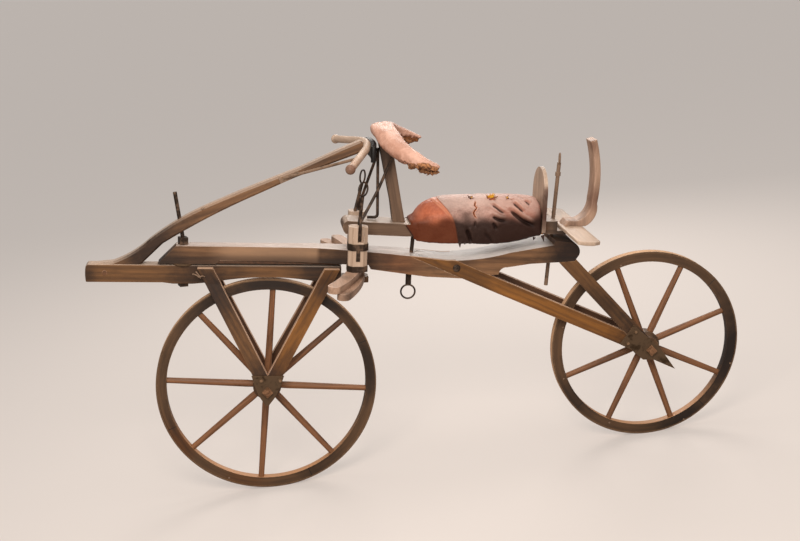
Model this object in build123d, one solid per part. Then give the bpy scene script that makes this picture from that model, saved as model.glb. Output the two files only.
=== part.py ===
from build123d import *
import math
import os

# A wooden draisine, or running machine: two wooden wheels in line, a perch between them,
# a steered front carriage under the perch, a padded saddle and a padded arm rest.
# All sizes are millimetres. The woodwork is set out in its own level frame: X runs to the
# rear along the perch, Y to the rider's right, Z up, and the steering pin is at X 0 with
# the top of the perch at Z 0. The finished machine stands nose up by NOSE_UP degrees.
# The exported frame has its origin on top of the saddle, where the rider sits.

NOSE_UP = 8.1

# Wheels
FRONT_RADIUS = 343.0
REAR_RADIUS = 307.0
WHEELBASE = 1218.0
TRAIL = 259.0            # steering pin to the front axle, along the woodwork
RIM_DEPTH = 29.0
RIM_WIDTH = 28.0
TYRE_THICK = 3.5
SPOKES = 8
SPOKE_HUB_RADIUS = 10.5
SPOKE_RIM_RADIUS = 9.0
FRONT_PHASE = 2.5        # turn of the first spoke, degrees
REAR_PHASE = 21.0
HUB_RADIUS = 44.0
HUB_END_RADIUS = 33.0
HUB_HALF = 47.0
AXLE_RADIUS = 8.0
FIT = 0.08               # running clearance all round a shaft in its hole
SEAT = 0.3               # clearance of pieces that rest on each other

# Forks and plates at the axles
FORK_GAP = 49.0          # middle plane to the inner face of a fork plank at the axle
PLANK = 22.0
PLATE = 3.5
STRUT_WIDTH = 43.0
STAY_WIDTH = 44.0

# Front carriage
BEAM_HALF = 24.0
BEAM_FRONT = -287.0
BEAM_REAR = 480.0
BEAM_TOP = -60.0
BEAM_DEPTH = 54.0
ARCH_TOP = -96.0
ARCH_ROOM = 9.0          # arch of the beam down to the front hoop
ARCH_SHARE = 0.49        # half length of the arch as a share of the wheel's radius
STRUT_SPREAD = 192.0     # axle line to the middle of a strut at the beam
POLE_HALF = 19.0
POLE_CORNER = 6.0
POLE_STAY = (300.0, 212.0)   # where the handle stays leave the pole

# Turning arcs: the upper one belongs to the perch, the lower one to the carriage
ARC_TOP = -49.0
ARC_THICK = 21.0
ARC_SLIDE = 0.5
ARC_WIDTH = 38.0
ARC_RADIUS = 798.0       # middle line of both boards
ARC_CENTRE = -262.0
UPPER_ARC = (94.0, -28.5, 18.6)    # sideways place of its centre, near end angle, far end angle
LOWER_ARC = (44.0, -24.0, 25.2)
TONGUE = 565.0           # the beam's tongue ends here, under the lower arc

# Perch
PERCH_FRONT_HALF = 25.0
PERCH_MID_HALF = 45.0
PERCH_SCARF_HALF = 56.0
PERCH_FRONT_BOTTOM = -55.0
NOTCH = 962.0                # where the lower stays leave the perch
STAY_START = (655.0, 19.0)   # middle line of a lower stay, at the perch
HEAD_START = (1158.0, -4.0)  # middle line of an upper stay, in the head

# Clamp posts on the upper arc
POSTS = {"near": (519.0, -112.0), "far": (537.0, 116.0)}   # where each one stands
POST_WIDTH = 57.0
POST_DEPTH = 50.0
POST_TOP = 88.0
POST_CORNER = 13.0
BAND = 2.5
BANDS = ((-49.0, 18.0), (17.0, 20.0))   # foot and height of the two iron bands
EYE_TOP = 218.0
EYE_RADIUS = 20.5
EYES = {"near": (4.0, 45.0), "far": (-9.0, 62.0)}   # foot behind the middle of the post, turn
ROD_RADIUS = 4.5

# Saddle
BOARD_HALF = 45.0
BOARD_FRONT = 482.0
BOARD_REAR = 1143.0
SADDLE_TOP = 168.0
SADDLE_SECTIONS = (   # place along the board, half width, lower edge, shoulder, crest
    (694.0, 46.0, 48.0, 80.0, 103.0),
    (712.0, 62.0, 42.0, 92.0, 131.0),
    (740.0, 75.0, 38.0, 104.0, 150.0),
    (800.0, 86.0, 37.0, 112.0, 163.0),
    (930.0, 90.0, 42.0, 116.0, SADDLE_TOP),
    (1040.0, 90.0, 52.0, 116.0, SADDLE_TOP),
    (1086.0, 86.0, 60.0, 112.0, 165.0),
)
SEAT_X = 930.0
BACK_FRONT = 1087.0
BACK_HALF = 77.0
BACK_TOP = 257.0
BACK_THICK = 11.5
SCREW_RADIUS = 6.0

# Arm rest and handle
ARM_SECTIONS = (   # middle line of the pad from the front to the near end: x, y, z; width, height
    (594.0, 0.0, 361.0, 92.0, 39.0),
    (609.0, 110.0, 345.0, 86.0, 39.0),
    (644.0, 196.0, 318.0, 74.0, 38.0),
    (692.0, 238.0, 297.0, 58.0, 35.0),
    (729.0, 250.0, 280.0, 40.0, 30.0),
)
HANDLE_X = 547.0
HANDLE_Z = 318.0
HANDLE_HALF = 281.0
HANDLE_FORWARD = 72.0
HANDLE_DROP = 31.0
HANDLE_BEND = 330.0      # bend radius at the middle of the bow
HANDLE_RADIUS = 11.5
BALL_RADIUS = 14.5

# Tail
TAIL_GAP = 15.0          # end of the saddle board to the tail board
TAIL_WIDTH = 70.0
TAIL_HALF = 246.0
TAIL_TOP = 78.0
TAIL_THICK = 12.0
HOOK_HALF = 32.0
HOOK_TOP = 350.0

# Worked out from the sizes above
TAIL_FRONT = BOARD_REAR + TAIL_GAP
TAIL_REAR = TAIL_FRONT + TAIL_WIDTH
FRONT_AXLE_DROP = FRONT_RADIUS + ARCH_ROOM - ARCH_TOP   # top of the perch down to the front axle
tilt = math.radians(NOSE_UP)
front_axle = (TRAIL, -FRONT_AXLE_DROP)
rear_axle = (
    TRAIL + WHEELBASE * math.cos(tilt) - (REAR_RADIUS - FRONT_RADIUS) * math.sin(tilt),
    -FRONT_AXLE_DROP + WHEELBASE * math.sin(tilt) + (REAR_RADIUS - FRONT_RADIUS) * math.cos(tilt),
)
fork_face = FORK_GAP + PLANK
plate_face = fork_face + PLATE
upper_bottom = ARC_TOP - ARC_THICK
lower_top = upper_bottom - ARC_SLIDE
lower_bottom = lower_top - ARC_THICK
beam_bottom = BEAM_TOP - BEAM_DEPTH

parts = {}


def outline(start, *steps):
    """A closed face in the X-Z plane. A step is a point, or (point on the arc, end)."""
    edges = []
    here = start
    for step in steps + (start,):
        if isinstance(step[0], tuple):
            through, end = step
            edges.append(ThreePointArc((here[0], 0, here[1]), (through[0], 0, through[1]), (end[0], 0, end[1])))
        else:
            end = step
            if math.dist(here, end) < 1e-6:
                continue
            edges.append(Line((here[0], 0, here[1]), (end[0], 0, end[1])))
        here = end
    return make_face(Wire(edges))


def slab(face, low, high):
    """The X-Z face as a board from Y low to Y high."""
    return extrude(Pos(0, high, 0) * face, amount=high - low, dir=(0, -1, 0))


def plan(points, low, high):
    """A polygon of (x, y) points as a board from Z low to Z high."""
    return extrude(Pos(0, 0, low) * make_face(Polyline(*points, close=True)), amount=high - low)


def rod(start, end, radius):
    """A round bar between two points."""
    run = Vector(*end) - Vector(*start)
    return extrude(Plane(origin=start, z_dir=run) * Circle(radius), amount=run.length)


def bent_rod(points, bends, radius):
    """A round bar along straight runs, with one bend radius for each corner."""
    path = FilletPolyline(*points, radius=bends)
    return sweep((path ^ 0) * Circle(radius), path=path)


def cross_rod(x, z, radius, low, high):
    """A round bar across the machine."""
    return Pos(x, (low + high) / 2, z) * Rot(90, 0, 0) * Cylinder(radius, high - low)


def both(name, shape):
    """The near piece, on the rider's left, and its mirror image on the far side."""
    parts[name + "_near"] = shape
    parts[name + "_far"] = mirror(shape, about=Plane.XZ)


def arc_board(centre, middle, width, near, far, low, high):
    """A curved board with round ends, between two angles about its centre."""
    ends = [Vector(*centre) + Vector(middle, 0).rotate(Axis.Z, angle) for angle in (near, far)]
    top = Vector(*centre) + Vector(middle, 0).rotate(Axis.Z, (near + far) / 2)
    line = ThreePointArc(ends[0], top, ends[1])
    face = trace(line, line_width=width)
    face = face + [Pos(end) * Circle(width / 2) for end in ends]
    return Pos(0, 0, low) * extrude(face, amount=high - low)


# Wheels
def wheel(name, axle, radius, phase):
    place = Pos(axle[0], 0, axle[1]) * Rot(0, phase, 0) * Rot(90, 0, 0)
    rim_outer = radius - TYRE_THICK
    rim_inner = radius - TYRE_THICK - RIM_DEPTH
    tyre = Circle(radius) - Circle(rim_outer)
    parts[name + "_tyre"] = place * extrude(tyre, amount=RIM_WIDTH / 2, both=True)
    felloes = extrude(Circle(rim_outer) - Circle(rim_inner), amount=RIM_WIDTH / 2 - 1, both=True)
    socket_depth = 8.0
    spoke_foot = HUB_RADIUS - socket_depth
    spoke_tip = rim_inner + socket_depth
    spoke_face = Polyline(
        (0, spoke_foot), (SPOKE_HUB_RADIUS, spoke_foot), (SPOKE_HUB_RADIUS * 1.06, HUB_RADIUS + 18),
        (SPOKE_RIM_RADIUS, rim_inner - 25), (SPOKE_RIM_RADIUS, spoke_tip), (0, spoke_tip), close=True)
    spoke = Rot(90, 0, 0) * revolve(Plane.XZ * make_face(spoke_face), Axis.Z)
    spokes = [Rot(0, 0, 360 / SPOKES * i) * Rot(180, 0, 0) * spoke for i in range(SPOKES)]
    all_spokes = Compound(children=spokes)
    for one in spokes:
        felloes -= one
    parts[name + "_felloes"] = place * felloes
    parts[name + "_spokes"] = place * all_spokes
    belly = HUB_HALF * 0.42
    ring = HUB_HALF * 0.62
    hub_face = make_face([
        Line((AXLE_RADIUS + FIT, -HUB_HALF), (HUB_END_RADIUS, -HUB_HALF)),
        Line((HUB_END_RADIUS, -HUB_HALF), (HUB_END_RADIUS + 2, -ring)),
        Line((HUB_END_RADIUS + 2, -ring), (HUB_RADIUS, -belly)),
        Line((HUB_RADIUS, -belly), (HUB_RADIUS, belly)),
        Line((HUB_RADIUS, belly), (HUB_END_RADIUS + 2, ring)),
        Line((HUB_END_RADIUS + 2, ring), (HUB_END_RADIUS, HUB_HALF)),
        Line((HUB_END_RADIUS, HUB_HALF), (AXLE_RADIUS + FIT, HUB_HALF)),
        Line((AXLE_RADIUS + FIT, HUB_HALF), (AXLE_RADIUS + FIT, -HUB_HALF)),
    ])
    hub = revolve(Plane.XZ * hub_face, Axis.Z)
    for one in spokes:
        hub -= one
    parts[name + "_hub"] = place * hub


wheel("front", front_axle, FRONT_RADIUS, FRONT_PHASE)
wheel("rear", rear_axle, REAR_RADIUS, REAR_PHASE)


def axle(name, centre):
    """The iron axle with a square nut on each end, outside the plates."""
    nut = 10.0
    stub = 3.0
    piece = cross_rod(centre[0], centre[1], AXLE_RADIUS, -plate_face - nut - stub, plate_face + nut + stub)
    for side in (-1, 1):
        middle = side * (plate_face + nut / 2)
        piece += Pos(centre[0], middle, centre[1]) * Rot(0, 45, 0) * Box(24, nut, 24)
    parts[name + "_axle"] = piece


axle("front", front_axle)
axle("rear", rear_axle)
axle_hole = AXLE_RADIUS + FIT

# Front carriage: beam, four struts, axle plates and lower arc
arch_half = FRONT_RADIUS * ARCH_SHARE
arch_front = (TRAIL - arch_half, beam_bottom + 2)
arch_rear = (TRAIL + arch_half, beam_bottom + 2)
beam = slab(outline(
    (BEAM_FRONT + 6, BEAM_TOP), (BEAM_REAR, BEAM_TOP), (BEAM_REAR, lower_bottom),
    (TONGUE, lower_bottom), (TONGUE, beam_bottom + 4), (arch_rear[0] + 45, beam_bottom + 2),
    arch_rear, ((TRAIL, ARCH_TOP), arch_front), (30, beam_bottom - 4),
    (-30, beam_bottom - 4), (-60, beam_bottom), (BEAM_FRONT, beam_bottom),
    ((BEAM_FRONT - 2, (BEAM_TOP + beam_bottom) / 2), (BEAM_FRONT, BEAM_TOP - 6)),
), -BEAM_HALF, BEAM_HALF)
pin_radius = 8.0
beam -= Pos(0, 0, (BEAM_TOP + beam_bottom) / 2) * Cylinder(pin_radius + FIT, BEAM_DEPTH * 2)
parts["fork_beam"] = beam


def rivet(x, z):
    """A round bolt head on a near axle plate."""
    return cross_rod(x, z, 7.0, -plate_face - 4, -fork_face) + cross_rod(x, z, 4.5, -plate_face - 6, -fork_face)


strut_top = BEAM_TOP - 4
strut_foot = front_axle[1] - 28
front_view = make_face(Polyline(
    (0, -fork_face, strut_foot - 20), (0, -fork_face, front_axle[1] + 55), (0, -BEAM_HALF - PLANK, beam_bottom + 2),
    (0, -BEAM_HALF - PLANK, strut_top + 10), (0, -BEAM_HALF, strut_top + 10), (0, -BEAM_HALF, beam_bottom + 2),
    (0, -FORK_GAP, front_axle[1] + 55), (0, -FORK_GAP, strut_foot - 20), close=True))
for end, way in (("front", -1), ("rear", 1)):
    top_x = TRAIL + way * STRUT_SPREAD
    half = STRUT_WIDTH / 2 / math.cos(math.atan2(STRUT_SPREAD, -front_axle[1]))
    side_view = outline(
        (top_x - half, strut_top), (top_x + half, strut_top),
        (TRAIL + way * 8 + half, front_axle[1] + 22), (TRAIL, strut_foot), (TRAIL + way * 8 - half, front_axle[1] + 22),
    )
    half_space = plan(sorted([(TRAIL, -200), (TRAIL + way * 600, -200)]) + sorted(
        [(TRAIL, 0), (TRAIL + way * 600, 0)], reverse=True), -700, 100)
    strut = slab(side_view, -200, 0) & extrude(Pos(TRAIL - 600, 0, 0) * front_view, amount=1200, dir=(1, 0, 0))
    strut = strut & half_space
    strut -= cross_rod(front_axle[0], front_axle[1], axle_hole, -200, 0)
    both("strut_" + end, strut)

plate = slab(outline(
    (TRAIL - 50, front_axle[1] + 52), (TRAIL + 50, front_axle[1] + 52), (TRAIL + 40, front_axle[1] + 20),
    (TRAIL + 22, front_axle[1] - 20), (TRAIL + 5, front_axle[1] - 44), (TRAIL - 5, front_axle[1] - 44),
    (TRAIL - 22, front_axle[1] - 20), (TRAIL - 40, front_axle[1] + 20)), -plate_face, -fork_face)
plate -= cross_rod(front_axle[0], front_axle[1], axle_hole, -plate_face - 1, -fork_face + 1)
for x in (TRAIL - 20, TRAIL + 38):
    plate += rivet(x, front_axle[1] + 38)
both("front_plate", plate)

parts["lower_arc"] = arc_board(
    (ARC_CENTRE, LOWER_ARC[0]), ARC_RADIUS, ARC_WIDTH, *LOWER_ARC[1:], lower_bottom, lower_top)

# Steering pin: through the tiller pole, the perch and the beam, with a turning plate
turn_plate = BEAM_TOP - PERCH_FRONT_BOTTOM
king_nut = 22.0
lower_nut = 12.0
pin_foot = beam_bottom - 4 - SEAT - lower_nut
pin = Pos(0, 0, (pin_foot + king_nut) / 2) * Cylinder(pin_radius, king_nut - pin_foot)
pin += Pos(0, 0, SEAT + king_nut / 2) * Rot(0, 0, 20) * Box(25, 25, king_nut)
pin += Pos(0, 0, beam_bottom - 4 - SEAT - lower_nut / 2) * Rot(0, 0, 20) * Box(25, 25, lower_nut)
pin_top = (-24.0, 0, 160.0)
pin += rod((0, 0, king_nut - 4), pin_top, 6.0)
parts["steering_pin"] = pin
parts["turning_plate"] = Pos(0, 0, (BEAM_TOP + PERCH_FRONT_BOTTOM - SEAT) / 2) * (
    Cylinder(34, -turn_plate - SEAT) - Cylinder(pin_radius + FIT, 20))

# Handle: a bow across the end of the pole, with round ends
bow_end = (HANDLE_X - HANDLE_FORWARD, HANDLE_Z - HANDLE_DROP)
reach = math.hypot(HANDLE_FORWARD, HANDLE_DROP)
spread = math.atan2(HANDLE_HALF, reach)
for _ in range(12):   # settle the corner of the bow so that its bend passes through HANDLE_X
    corner = reach + HANDLE_BEND * (1 / math.sin(spread) - 1)
    spread = math.atan2(HANDLE_HALF, corner)
corner_point = (bow_end[0] + corner * HANDLE_FORWARD / reach, 0, bow_end[1] + corner * HANDLE_DROP / reach)
bow = FilletPolyline(
    (bow_end[0], -HANDLE_HALF, bow_end[1]), corner_point, (bow_end[0], HANDLE_HALF, bow_end[1]), radius=HANDLE_BEND)
handle = sweep((bow ^ 0) * Circle(HANDLE_RADIUS), path=bow)
for side in (-1, 1):
    handle += Pos(bow_end[0], side * HANDLE_HALF, bow_end[1]) * Sphere(BALL_RADIUS)
parts["handle"] = handle

# Tiller pole, hollowed at its rear end to cradle the bow
pole = slab(outline(
    (-272, BEAM_TOP), (-206, BEAM_TOP + 8), ((-160, -30), (-98, 17)), ((-14, 77), (67, 121)), (169, 168),
    (349, 244), (463, 300), (HANDLE_X - 20, HANDLE_Z + 11), (HANDLE_X - 5, HANDLE_Z), (HANDLE_X - 16, HANDLE_Z - 25),
    (424, 250), (325, 209), (214, 156), ((0, 42), (-59, 5)), (-124, BEAM_TOP)), -POLE_HALF, POLE_HALF)
sides = [edge for edge in pole.edges() if abs(abs(edge.center().Y) - POLE_HALF) < 0.1]
pole = chamfer([edge for edge in sides if edge.center().Z > BEAM_TOP + 1], POLE_CORNER)
pole -= rod((0, 0, king_nut - 4), pin_top, 6.0 + FIT)
pole -= sweep((bow ^ 0) * Circle(HANDLE_RADIUS + SEAT), path=bow)
parts["tiller_pole"] = pole

backing = arc_board((0, 0), HANDLE_X + HANDLE_RADIUS + 8, 15, -9, 9, HANDLE_Z - 42, HANDLE_Z + 6)
backing -= sweep((bow ^ 0) * Circle(HANDLE_RADIUS), path=bow)
parts["handle_backing"] = backing
for side, way in (("near", -1), ("far", 1)):
    stay = rod((POLE_STAY[0], way * (POLE_HALF + 3), POLE_STAY[1]), (511, way * 112, 291), ROD_RADIUS)
    stay += Pos(POLE_STAY[0] + 16, way * (POLE_HALF + 1.5), POLE_STAY[1] + 2) * Rot(0, -25, 0) * Box(62, 3, 14)
    stay = stay - sweep((bow ^ 0) * Circle(HANDLE_RADIUS), path=bow) - pole
    parts["handle_stay_" + side] = stay

# Perch
perch_side = outline(
    (-74, PERCH_FRONT_BOTTOM), (-20, 0), (400, 0), ((620, -12), (800, -28)), ((890, -22), (991, 0)),
    (1131, 26), (1133, 40), (1184, 35), ((1206, 25), (1212, -4)), (1199, -24), (1150, -28), (1059, -34),
    (987, -46), ((966, -56), (962, -68)), (854, -84), (740, -81), (568, -62), (561, ARC_TOP), (500, ARC_TOP),
    (353, -45), (111, -42), (98, PERCH_FRONT_BOTTOM))
perch_plan = plan([
    (-80, -PERCH_FRONT_HALF), (350, -PERCH_FRONT_HALF - 5), (560, -PERCH_MID_HALF), (703, -PERCH_SCARF_HALF),
    (960, -fork_face), (1300, -fork_face), (1300, fork_face), (960, fork_face), (703, PERCH_SCARF_HALF),
    (560, PERCH_MID_HALF), (350, PERCH_FRONT_HALF + 5), (-80, PERCH_FRONT_HALF)], -150, 80)
perch = slab(perch_side, -100, 100) & perch_plan
perch -= Pos(0, 0, -50) * Cylinder(pin_radius + FIT, 200)


def plank(start, end, width, round_end):
    """A plank of the rear fork, on the rider's left, from start to the axle."""
    length = math.dist(start, end)
    run = ((end[0] - start[0]) / length, (end[1] - start[1]) / length)
    edge = (-run[1] * width / 2, run[0] * width / 2)
    tip = (end[0] + run[0] * width / 2, end[1] + run[1] * width / 2)
    corners = [(start[0] + edge[0], start[1] + edge[1]), (end[0] + edge[0], end[1] + edge[1])]
    corners += [(end[0] - edge[0], end[1] - edge[1]), (start[0] - edge[0], start[1] - edge[1])]
    if round_end:
        return slab(outline(corners[0], corners[1], (tip, corners[2]), corners[3]), -fork_face, -FORK_GAP)
    return slab(outline(*corners), -fork_face, -FORK_GAP)


# Lower stays, let flush into the sides of the perch, and upper stays, butted under its head
lower_stay = plank(STAY_START, rear_axle, STAY_WIDTH, False)
upper_stay = plank(HEAD_START, rear_axle, STAY_WIDTH, True)
over = slab(outline((400, 0), ((620, -12), (800, -28)), ((890, -22), (991, 0)), (991, 200), (400, 200)), -200, 200)
beyond = Pos(NOTCH + 400, -60, -250) * Box(800, 80, 500)
lower_stay = (lower_stay - over) & (perch_plan + beyond)
upper_stay = upper_stay - slab(perch_side, -200, 200) - cross_rod(*rear_axle, axle_hole, -100, 0)
upper_stay = upper_stay.solids().sort_by(SortBy.VOLUME)[-1]
lower_stay = lower_stay - upper_stay - cross_rod(*rear_axle, STAY_WIDTH / 2 + 1, -100, 0)
lower_stay = lower_stay.solids().sort_by(SortBy.VOLUME)[-1]
for stay in (lower_stay, mirror(lower_stay, about=Plane.XZ)):
    perch -= stay
both("lower_stay", lower_stay)
both("upper_stay", upper_stay)

axle_x, axle_z = rear_axle
plate = slab(outline(
    (axle_x - 104, axle_z + 19), (axle_x - 64, axle_z + 83), (axle_x + 29, axle_z + 7), (axle_x + 85, axle_z - 63),
    (axle_x + 9, axle_z - 31), (axle_x - 24, axle_z - 32), (axle_x - 63, axle_z)), -plate_face, -fork_face)
plate -= cross_rod(axle_x, axle_z, axle_hole, -plate_face - 1, -fork_face + 1)
for x, z in ((axle_x - 57, axle_z + 61), (axle_x - 79, axle_z + 23)):
    plate += rivet(x, z)
both("rear_plate", plate)

parts["upper_arc"] = arc_board(
    (ARC_CENTRE, UPPER_ARC[0]), ARC_RADIUS, ARC_WIDTH, *UPPER_ARC[1:], upper_bottom, ARC_TOP)

# Clamp posts with their irons and eye screws
post_plan = chamfer(Rectangle(POST_WIDTH, POST_DEPTH).vertices(), POST_CORNER)
band_plan = offset(post_plan, amount=BAND, kind=Kind.INTERSECTION) - post_plan
rod_feet = {}
for side, (x, y) in POSTS.items():
    way = math.copysign(1, y)
    stand = Pos(x, y, 0)
    foot = (x + 5, y + way * 10, 47.0)
    rod_feet[side] = foot
    post = stand * Pos(0, 0, ARC_TOP) * extrude(post_plan, amount=POST_TOP - ARC_TOP)
    post -= Pos(foot[0] + 2, foot[1] + way * 8, foot[2] + 30) * Box(19, 30, 70)
    parts["clamp_post_" + side] = post
    irons = Pos(x, y + way * (POST_DEPTH + BAND) / 2, 2) * Box(12, BAND, 34)
    for low, height in BANDS:
        irons += stand * Pos(0, 0, low) * extrude(band_plan, amount=height)
    parts["post_irons_" + side] = irons
    stem_foot = (x + EYES[side][0], y - way * 14, POST_TOP)
    stem_top = (x + 11, y - way * 8, EYE_TOP - 2 * EYE_RADIUS)
    eye = rod(stem_foot, stem_top, 5.2)
    ring_place = Pos(stem_top[0] + 1, stem_top[1], EYE_TOP - EYE_RADIUS) * Rot(0, 0, EYES[side][1]) * Rot(90, 0, 0)
    eye += ring_place * Torus(EYE_RADIUS, 2.8)
    eye -= stand * Pos(0, 0, ARC_TOP) * extrude(post_plan, amount=POST_TOP - ARC_TOP)
    parts["eye_screw_" + side] = eye

# Saddle board, cushion and back
board = slab(outline(
    (BOARD_FRONT, 56), ((BOARD_FRONT + 2, 82), (BOARD_FRONT + 12, 88)), (673, 80), (BOARD_REAR, 96),
    (BOARD_REAR, TAIL_TOP - TAIL_THICK), (TAIL_REAR - 6, TAIL_TOP - TAIL_THICK),
    (TAIL_REAR - 6, TAIL_TOP - TAIL_THICK - 12), (BOARD_REAR, 56), (673, 42), (BOARD_FRONT + 6, 48)),
    -BOARD_HALF, BOARD_HALF)
def saddle_section(x, half, low, shoulder, crest):
    """Cross-section of the stuffed cushion: upright sides under one round top."""
    return make_face([
        Line((x, -half, shoulder), (x, -half + 8, low)), Line((x, -half + 8, low), (x, half - 8, low)),
        Line((x, half - 8, low), (x, half, shoulder)),
        ThreePointArc((x, half, shoulder), (x, 0, crest), (x, -half, shoulder))])


board_room = slab(outline(
    (BOARD_FRONT, 20), (BOARD_FRONT, 88 + SEAT), (BOARD_FRONT + 12, 88 + SEAT), (673, 80 + SEAT),
    (BOARD_REAR, 96 + SEAT), (BOARD_REAR, 20)), -BOARD_HALF - SEAT, BOARD_HALF + SEAT)
parts["saddle_cushion"] = loft([saddle_section(*row) for row in SADDLE_SECTIONS]) - board_room

disc = Pos(BACK_FRONT, 0, 0) * extrude(Plane.YZ * (
    Pos(0, BACK_TOP - BACK_HALF) * Circle(BACK_HALF)
    + Pos(0, (BACK_TOP - BACK_HALF + 66) / 2) * Rectangle(BACK_HALF * 2, BACK_TOP - BACK_HALF - 66)),
    amount=BACK_THICK)
disc -= slab(outline((1000, 0), (1000, 94.8), (1200, 98.0), (1200, 0)), -BOARD_HALF - SEAT, BOARD_HALF + SEAT)
parts["saddle_back"] = disc

# Saddle screws: the front one ends in a ring below the perch, the rear one in an eye above
def drill(top, foot):
    """Clearance holes for a screw, in the saddle board and the perch."""
    global board, perch
    hole = rod(top, foot, SCREW_RADIUS + FIT)
    board -= hole
    perch -= hole


front_top = (702.0, 0, 62.0)
front_foot = (692.0, 0, -118.0)
drill((703.0, 0, 80.0), front_foot)
screw = rod(front_top, front_foot, SCREW_RADIUS)
screw += Pos(front_foot[0], 0, front_foot[2] + 14) * Cylinder(9, 32)
screw += Pos(front_foot[0], 0, front_foot[2] - 26) * Rot(90, 0, 0) * Torus(22, 2.8)
parts["saddle_screw_front"] = screw
rear_top = (1146.0, 0, 272.0)
rear_foot = (1131.0, 0, -120.0)
drill(rear_top, rear_foot)
screw = rod(rear_top, rear_foot, SCREW_RADIUS)
screw += Pos(rear_top[0] - 1.5, 0, rear_top[2] - 36) * Cylinder(8.5, 12)
screw += Pos(rear_top[0] + 0.5, 0, rear_top[2] + 12) * Rot(0, 0, 80) * Rot(90, 0, 0) * Torus(16, 2.7)
parts["saddle_screw_rear"] = screw
parts["perch"] = perch
parts["saddle_board"] = board

# Arm rest: post, padded crescent, two stays and a brace
arm_rows = [(x, -y, z, wide, high) for x, y, z, wide, high in reversed(ARM_SECTIONS[1:])] + list(ARM_SECTIONS)
arm_line = Spline(*[row[:3] for row in arm_rows])
arm_faces = []
for x, y, z, wide, high in arm_rows:
    heading = arm_line.tangent_at(arm_line.param_at_point((x, y, z)))
    section = Plane(origin=(x, y, z), x_dir=(heading.Y, -heading.X, 0), z_dir=heading)
    arm_faces.append(section * RectangleRounded(wide, high, high / 2 - 1))
parts["arm_rest"] = loft(arm_faces)
post_top = ARM_SECTIONS[0][2] - ARM_SECTIONS[0][4] / 2
arm_post = slab(outline(
    (578, post_top), (623, 146), (634, 76), (672, 76), (655, 157), (618, post_top)), -22, 22)
arm_post = arm_post - board - parts["arm_rest"]
arm_post = arm_post.solids().sort_by(SortBy.VOLUME)[-1]
parts["arm_post"] = arm_post
stay_tops = {   # side: (first point, second point) of the rod, before it drops into its post
    "near": ((624, -28, 284), (577, -80, 190)),
    "far": ((586, 27, 290), (560, 74, 186)),
}
for side, (top, knee) in stay_tops.items():
    foot = rod_feet[side]
    parts["arm_stay_" + side] = bent_rod(
        [top, knee, (foot[0], foot[1], 100), (foot[0], foot[1], foot[2] - 5 + 0.2)], [40, 16], ROD_RADIUS)
brace = bent_rod([(581.8, 0, 306), (588, 0, 91.5), (556, 0, 91.5)], [10], ROD_RADIUS)
parts["arm_brace"] = brace

# Tail board and luggage hook
tail = plan([
    (TAIL_FRONT, -TAIL_HALF + 12), (TAIL_FRONT + 20, -TAIL_HALF), (TAIL_REAR - 20, -TAIL_HALF),
    (TAIL_REAR, -TAIL_HALF + 14), (TAIL_REAR, TAIL_HALF - 14), (TAIL_REAR - 20, TAIL_HALF),
    (TAIL_FRONT + 20, TAIL_HALF), (TAIL_FRONT, TAIL_HALF - 12)], TAIL_TOP - TAIL_THICK, TAIL_TOP)
parts["tail_board"] = tail
bend = TAIL_REAR + 8
hook = slab(outline(
    (TAIL_FRONT + 8, TAIL_TOP), (bend, TAIL_TOP), ((bend + 18, TAIL_TOP + 14), (bend + 32, TAIL_TOP + 72)),
    ((bend + 36, HOOK_TOP - 110), (bend + 16, HOOK_TOP)), (bend - 3, HOOK_TOP - 6),
    ((bend + 17, HOOK_TOP - 115), (bend + 14, TAIL_TOP + 82)), ((bend + 3, TAIL_TOP + 40), (bend - 24, TAIL_TOP + 17)),
    (TAIL_FRONT + 20, TAIL_TOP + 16)), -HOOK_HALF, HOOK_HALF)
parts["luggage_hook"] = hook

# Place: the seat point becomes the origin, and the machine stands nose up
place = Rot(0, NOSE_UP, 0) * Pos(-SEAT_X, 0, -SADDLE_TOP)

os.makedirs("parts", exist_ok=True)
for name, shape in parts.items():
    export_step(place * shape, f"parts/{name}.step")
print(len(parts), "nodes")
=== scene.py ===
# %% [markdown]
# # A wooden draisine
# The solids come from the CAD model: two wheels in line, a perch, a steered front carriage,
# a padded saddle and a padded arm rest. This lesson gives them aged wood, iron and leather,
# and builds what plain solids can't show: stuffed leather, torn spots and small irons.

# %% Load the frame
import math
import random

import bmesh
import bpy
from mathutils import Matrix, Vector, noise
from mathutils import Vector as V


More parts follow.
